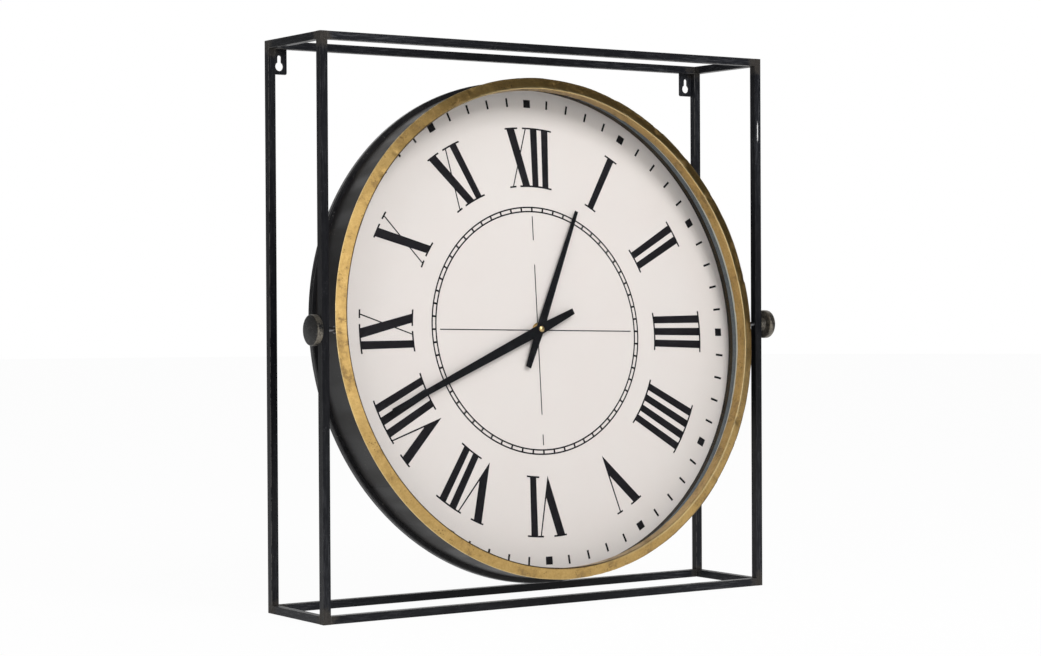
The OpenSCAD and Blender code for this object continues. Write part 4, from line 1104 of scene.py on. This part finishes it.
class BezelOperator(bpy.types.Operator):
    """Sweeps and works the brass bezel"""
    bl_idname = "swivel_clock.bezel"
    bl_label = "Bezel"

    face_w, fall = 13.1 * MM, 4.1 * MM
    crest_r = 0.9 * MM
    edge = 5.1 * MM
    slope = math.atan(fall / face_w)
    outer = BEZEL_R - 1.0 * MM
    inner = outer - face_w
    crest = (inner + crest_r, edge + fall - crest_r * (math.tan(slope) + 1 / math.cos(slope)))

    def execute(self, context):
        own = settings().bezel
        profile = [(radius - self.inner, -depth, 0.0) for radius, depth in self.profile()]
        count = len(profile)
        source = bpy.data.meshes.new("bezel profile")
        source.from_pydata(profile, [(k, (k + 1) % count) for k in range(count)], [])
        shape = grown(
            source, swept_ring_tree(), "bezel", Radius=self.inner, Segments=own.segments,
            Wave=own.wave, Dent=own.dent)
        self.mark(shape)
        name = "bezel_worked"
        place_piece(name, to_head(shape, name, 50.0), "bezel", "head", "bezel_brass", "bezel")
        return {"FINISHED"}

    def profile(self):
        """(radius, depth) points: wall, underside, outer edge, face, crest and back to the wall"""
        inner, outer, edge, top = self.inner, self.outer, self.edge, self.crest_r
        middle_r, middle_n = self.crest
        wall, wall_end = 1.2 * MM, -5.64 * MM
        lip, rear = DRUM_R + 0.07 * MM, 4.7 * MM
        face_start = 0.4 * MM
        points = [
            (inner, wall_end), (inner + wall, wall_end),
            (inner + wall, edge + self.fall - 2 * wall), (lip, edge + 0.4 * MM), (lip, rear),
            (outer - 0.15 * MM, rear), (outer, rear + 0.1 * MM), (outer, edge - 0.15 * MM),
            (outer - 0.1 * MM, edge),
        ]
        first = (outer - face_start, edge + face_start * self.fall / self.face_w)
        last = (middle_r + top * math.sin(self.slope), middle_n + top * math.cos(self.slope))
        for part in (0.0, 0.05, 0.2, 0.4, 0.6, 0.8, 0.92, 0.96, 1.0):
            points.append(tuple(one + (two - one) * part for one, two in zip(first, last)))
        start = math.pi / 2 - self.slope
        for k in range(1, 6):
            angle = start + (math.pi - start) * k / 5
            points.append((middle_r + top * math.cos(angle), middle_n + top * math.sin(angle)))
        return points + [(inner, middle_n + (wall_end - middle_n) * k / 5) for k in range(1, 5)]

    def mark(self, shape):
        """Marks the edges for painted light: painted shade inside and a painted highlight outside
        on the left, the reverse on the right
        """
        patina = shape.verts.layers.float.new("patina")
        painted_highlight = shape.verts.layers.float.new("crest")
        left_turn = math.radians(250)
        middle_r, middle_n = self.crest
        for vert in shape.verts:
            radius = math.hypot(vert.co.x, vert.co.y)
            turn = math.atan2(vert.co.x, vert.co.y)
            left = share_of(0.5 + 2 * math.cos(turn - left_turn))
            outside = share_of((radius - (self.outer - 1.6 * MM)) / (1.3 * MM))
            inside = share_of((self.inner + 1.5 * MM - radius) / (0.4 * MM))
            if vert.co.z < middle_n - 0.5 * MM:
                inside = 0.0
            # Painted shade: the inner edge on the left, the outer edge on the right
            vert[patina] = max(outside * (1 - left), inside * left)
            near = math.hypot(radius - middle_r, vert.co.z - middle_n - 0.4 * MM)
            top_light = share_of(1.6 - near / (0.9 * MM))
            edge_light = share_of((radius - (self.outer - 0.9 * MM)) / (0.5 * MM))
            # Painted highlight: the outer edge on the left, the crest on the right
            vert[painted_highlight] = max(top_light * (1 - left), edge_light * left)


class GlazingOperator(bpy.types.Operator):
    """Finishes the glass, its seal and the spacer rings"""
    bl_idname = "swivel_clock.glazing"
    bl_label = "Glass, seal and spacers"

    def execute(self, context):
        dress("glass", "seal", "spacer")
        return {"FINISHED"}


class DialOperator(bpy.types.Operator):
    """Finishes the dial and its printing"""
    bl_idname = "swivel_clock.dial"
    bl_label = "Dial and printing"

    def execute(self, context):
        dress("dial", "ink")
        return {"FINISHED"}


class HandsOperator(bpy.types.Operator):
    """Rounds the hands' edges and finishes nuts and washer at their hub"""
    bl_idname = "swivel_clock.hands"
    bl_label = "Hands and hub"

    def execute(self, context):
        for node in ("hour_hand", "minute_hand"):
            worked(node, "hands", "hand_black", settings().dial.hand_rounding)
        worked("fixing_nut", "brass", "brass", 0.3 * MM)
        worked("brass_washer", "brass", "brass", 0.1 * MM)
        dress("brass")
        return {"FINISHED"}


class MovementOperator(bpy.types.Operator):
    """Finishes the movement, winds its coil and knurls its setting knob"""
    bl_idname = "swivel_clock.movement"
    bl_label = "Movement and battery"

    def execute(self, context):
        dress("rubber", "case", "board", "steel", "wheels", "knob plastic", "battery")
        self.coil()
        self.knurl()
        return {"FINISHED"}

    def coil(self):
        """Copper wire wound on a bobbin round the stator's leg"""
        low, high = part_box("coil")
        start = 5.5 * MM
        dial_turn = math.radians(-1.2)
        outline = [
            (2.38, 0.0), (2.38, 0.5), (1.95, 0.5), (1.95, 11.5), (2.38, 11.5), (2.38, 12.0),
            (1.4, 12.0), (1.4, 0.0),
        ]
        half_l, steps = 6, 32
        shape = bmesh.new()
        rows = turned_rows(
            shape, [(radius * MM, (along - half_l) * MM) for radius, along in outline], steps)
        skin(shape, rows + rows[:1])
        bmesh.ops.translate(shape, verts=shape.verts, vec=(0, 0, start))
        shape = grown(
            to_mesh(shape, "bobbin"), winding_tree(), "copper", Turns=30.0, Wound_Radius=2.14 * MM,
            Wire_Radius=0.18 * MM, Length=10.9 * MM)
        bmesh.ops.translate(shape, verts=shape.verts, vec=(0, 0, -start))
        turn = HEAD_TURN @ Matrix.Rotation(dial_turn, 3, "Z") @ Matrix.Rotation(math.pi / 2, 3, "Y")
        bmesh.ops.rotate(shape, verts=shape.verts, cent=(0, 0, 0), matrix=turn)
        bmesh.ops.translate(shape, verts=shape.verts, vec=(low + high) / 2)
        bmesh.ops.recalc_face_normals(shape, faces=shape.faces)
        name = "coil_wound"
        place_piece(name, smooth(to_mesh(shape, name), 40), "copper", "head", "copper", "coil")

    def knurl(self):
        """Fine ridges round the setting knob's edge"""
        sunk, rise, height, half_w = -0.05 * MM, 0.16 * MM, 1.9 * MM, 0.22 * MM
        corners = [(sunk, -half_w), (rise, -half_w * 0.4), (rise, half_w * 0.4), (sunk, half_w)]
        shape = bmesh.new()
        lower, upper = ([shape.verts.new((x, y, z)) for x, y in corners] for z in (0, height))
        shape.faces.new(lower[::-1])
        shape.faces.new(upper)
        skin(shape, [lower, upper])
        shape = grown(
            to_mesh(shape, "ridge"), placed_round_tree(), "knob plastic", Radius=5.2 * MM, Count=40,
            Loose_Turn=0.0, Seed=1)
        rear = rear_depth("drum_band", DRUM_R) + 0.25 * MM
        middle = HEAD.inverted() @ Vector(JOINTS["setting_turn"]["pos_m"])
        bmesh.ops.translate(shape, verts=shape.verts, vec=(middle.x, middle.y, rear))
        name = "setting_knob_knurl"
        place_piece(name, to_head(shape, name), "knob plastic", "setting", "knob_plastic")


class StageOperator(bpy.types.Operator):
    """Lays the floor, hangs the lamps and sets the camera"""
    bl_idname = "swivel_clock.stage"
    bl_label = "Stage, lamps and camera"

    def execute(self, context):
        own = settings().stage
        self.floor(own)
        self.sky(own)
        self.lamp("Front lamp", (0.25, -2.4, 2.45), (0.0, 0.0, 0.32), (1.0, 1.5), own.front_power)
        self.lamp("Left lamp", (-2.6, -1.3, 1.8), (0.0, 0.0, 0.35), (1.2, 1.2), own.side_power)
        self.camera(own)
        context.scene.view_settings.view_transform = "Standard"
        return {"FINISHED"}

    def floor(self, own):
        """A wide round floor that shows white to the camera and keeps a faint shadow"""
        below, radii, steps, shown_white = -0.0001, (12.0, 4.0, 1.5, 0.6), 64, 0.96
        shape = bmesh.new()
        rows = turned_rows(shape, [(radius, below) for radius in radii], steps)
        skin(shape, rows)
        shape.faces.new(rows[-1])
        mesh = to_mesh(shape, "floor")
        made = Finish("Studio floor", Roughness=0.9, Specular_IOR_Level=0.0)
        drift = made.group("mottle", Scale=1.5, Spread=0.3).patches
        tone = made.layers(own.floor, (drift, shade(own.floor, 0.985)))
        put(tone, made.shader.inputs["Base Color"])
        rays = all_of(add(made.tree, "ShaderNodeLightPath").outputs)
        seen = maths("MAXIMUM", rays.is_camera_ray, rays.is_glossy_ray)
        seen = maths("MAXIMUM", seen, rays.is_transmission_ray)
        glow = add(made.tree, "ShaderNodeEmission", {
            "Color": (1.0, 1.0, 1.0, 1.0), "Strength": 1.0})
        made.over(seen * shown_white, glow)
        mesh.materials.append(made.material)
        linked("floor", mesh)

    def sky(self, own):
        """Even light from all round; the camera and the clear view through glass see white

        Shiny surfaces mirror a dark studio with a window in front and a pale backdrop behind.
        """
        world = bpy.data.worlds.new("Studio")
        bpy.context.scene.world = world
        world.use_nodes = True
        tree = world.node_tree
        tree.nodes.clear()
        place = read(tree, "ShaderNodeTexCoord", "Generated")
        rays = all_of(add(tree, "ShaderNodeLightPath").outputs)

        def lobe(direction, full, end):
            """1 within an angle of a direction, falling to 0 at a wider angle, in degrees"""
            near = vector_maths("DOT_PRODUCT", place, tuple(Vector(direction).normalized()))
            return near.ramp(math.cos(math.radians(end)), math.cos(math.radians(full)))

        def background(strength):
            return Value(add(tree, "ShaderNodeBackground", {
                "Color": (1.0, 1.0, 1.0, 1.0), "Strength": strength}).outputs[0])

        def either(factor, first, second):
            return read(tree, "ShaderNodeMixShader", 0, {0: factor, 1: first, 2: second})

        window = lobe((-0.25, -0.93, 0.25), 20, 40) * 2.0
        backdrop = lobe((0.4, 0.85, 0.35), 30, 52)
        mirrored = 0.04 + maths("MAXIMUM", window, backdrop)
        through = rays.is_transmission_ray
        straight = maths("LESS_THAN", rays.glossy_depth, 0.5)
        shown = maths("MAXIMUM", rays.is_glossy_ray, through * (1.0 - straight))
        clear = maths("MAXIMUM", rays.is_camera_ray, through * straight)
        lit = either(shown, background(own.sky), background(mirrored))
        end = add(tree, "ShaderNodeOutputWorld")
        put(either(clear, lit, background(1.0)), end.inputs["Surface"])

    def lamp(self, name, place, target, size, strength):
        """A soft rectangular lamp, unseen in shiny surfaces"""
        light = bpy.data.lights.new(name, "AREA")
        light.shape = "RECTANGLE"
        light.size, light.size_y = size
        light.energy = strength
        holder = linked(name, light)
        holder.visible_glossy = False
        holder.location = place
        aim = Vector(target) - Vector(place)
        holder.rotation_euler = aim.to_track_quat("-Z", "Y").to_euler()

    def camera(self, own):
        """The camera at the photograph's place"""
        view = bpy.data.cameras.new("Camera")
        view.sensor_width = 36.0
        view.lens = own.lens
        view.clip_start = 0.05
        azimuth, rise, roll = (math.radians(angle) for angle in (33.9401, -0.7278, -0.2956))
        ahead = Vector((
            math.sin(azimuth) * math.cos(rise), math.cos(azimuth) * math.cos(rise), math.sin(rise)))
        right = ahead.cross(Vector((0, 0, 1))).normalized()
        up = right.cross(ahead)
        turned_right = right * math.cos(roll) + up * math.sin(roll)
        turned_up = up * math.cos(roll) - right * math.sin(roll)
        pose = Matrix((turned_right, turned_up, -ahead)).transposed().to_4x4()
        pose.translation = Vector((-1.5678765, -2.2629698, 0.3516961))
        holder = linked("Camera", view)
        holder.matrix_world = pose
        bpy.context.scene.camera = holder


class ClockPanel(bpy.types.Panel):
    """Lists the clock's operators and settings in the sidebar"""
    bl_idname = "VIEW3D_PT_swivel_clock"
    bl_label = "Swivel clock"
    bl_space_type = "VIEW_3D"
    bl_region_type = "UI"
    bl_category = "Swivel clock"

    def draw(self, context):
        own = context.scene.swivel_clock
        for operator in OPERATORS:
            self.layout.operator(operator.bl_idname)
        for group in (own.frame, own.knobs, own.drum, own.bezel, own.dial, own.stage):
            box = self.layout.box()
            for key in group.__annotations__:
                box.prop(group, key)


OPERATORS = (
    FrameOperator, KnobOperator, DrumOperator, BezelOperator, GlazingOperator, DialOperator,
    HandsOperator, MovementOperator, StageOperator,
)
CLASSES = (
    FrameSettings, KnobSettings, DrumSettings, BezelSettings, DialSettings, StageSettings,
    ClockSettings, *OPERATORS, ClockPanel,
)


def register():
    for cls in CLASSES:
        bpy.utils.register_class(cls)
    bpy.types.Scene.swivel_clock = PointerProperty(type=ClockSettings)


def unregister():
    del bpy.types.Scene.swivel_clock
    for cls in reversed(CLASSES):
        bpy.utils.unregister_class(cls)


def main():
    register()
    bpy.ops.swivel_clock.frame()
    bpy.ops.swivel_clock.knobs()
    bpy.ops.swivel_clock.drum()
    bpy.ops.swivel_clock.bezel()
    bpy.ops.swivel_clock.glazing()
    bpy.ops.swivel_clock.dial()
    bpy.ops.swivel_clock.hands()
    bpy.ops.swivel_clock.movement()
    bpy.ops.swivel_clock.stage()


if __name__ == "__main__":
    main()
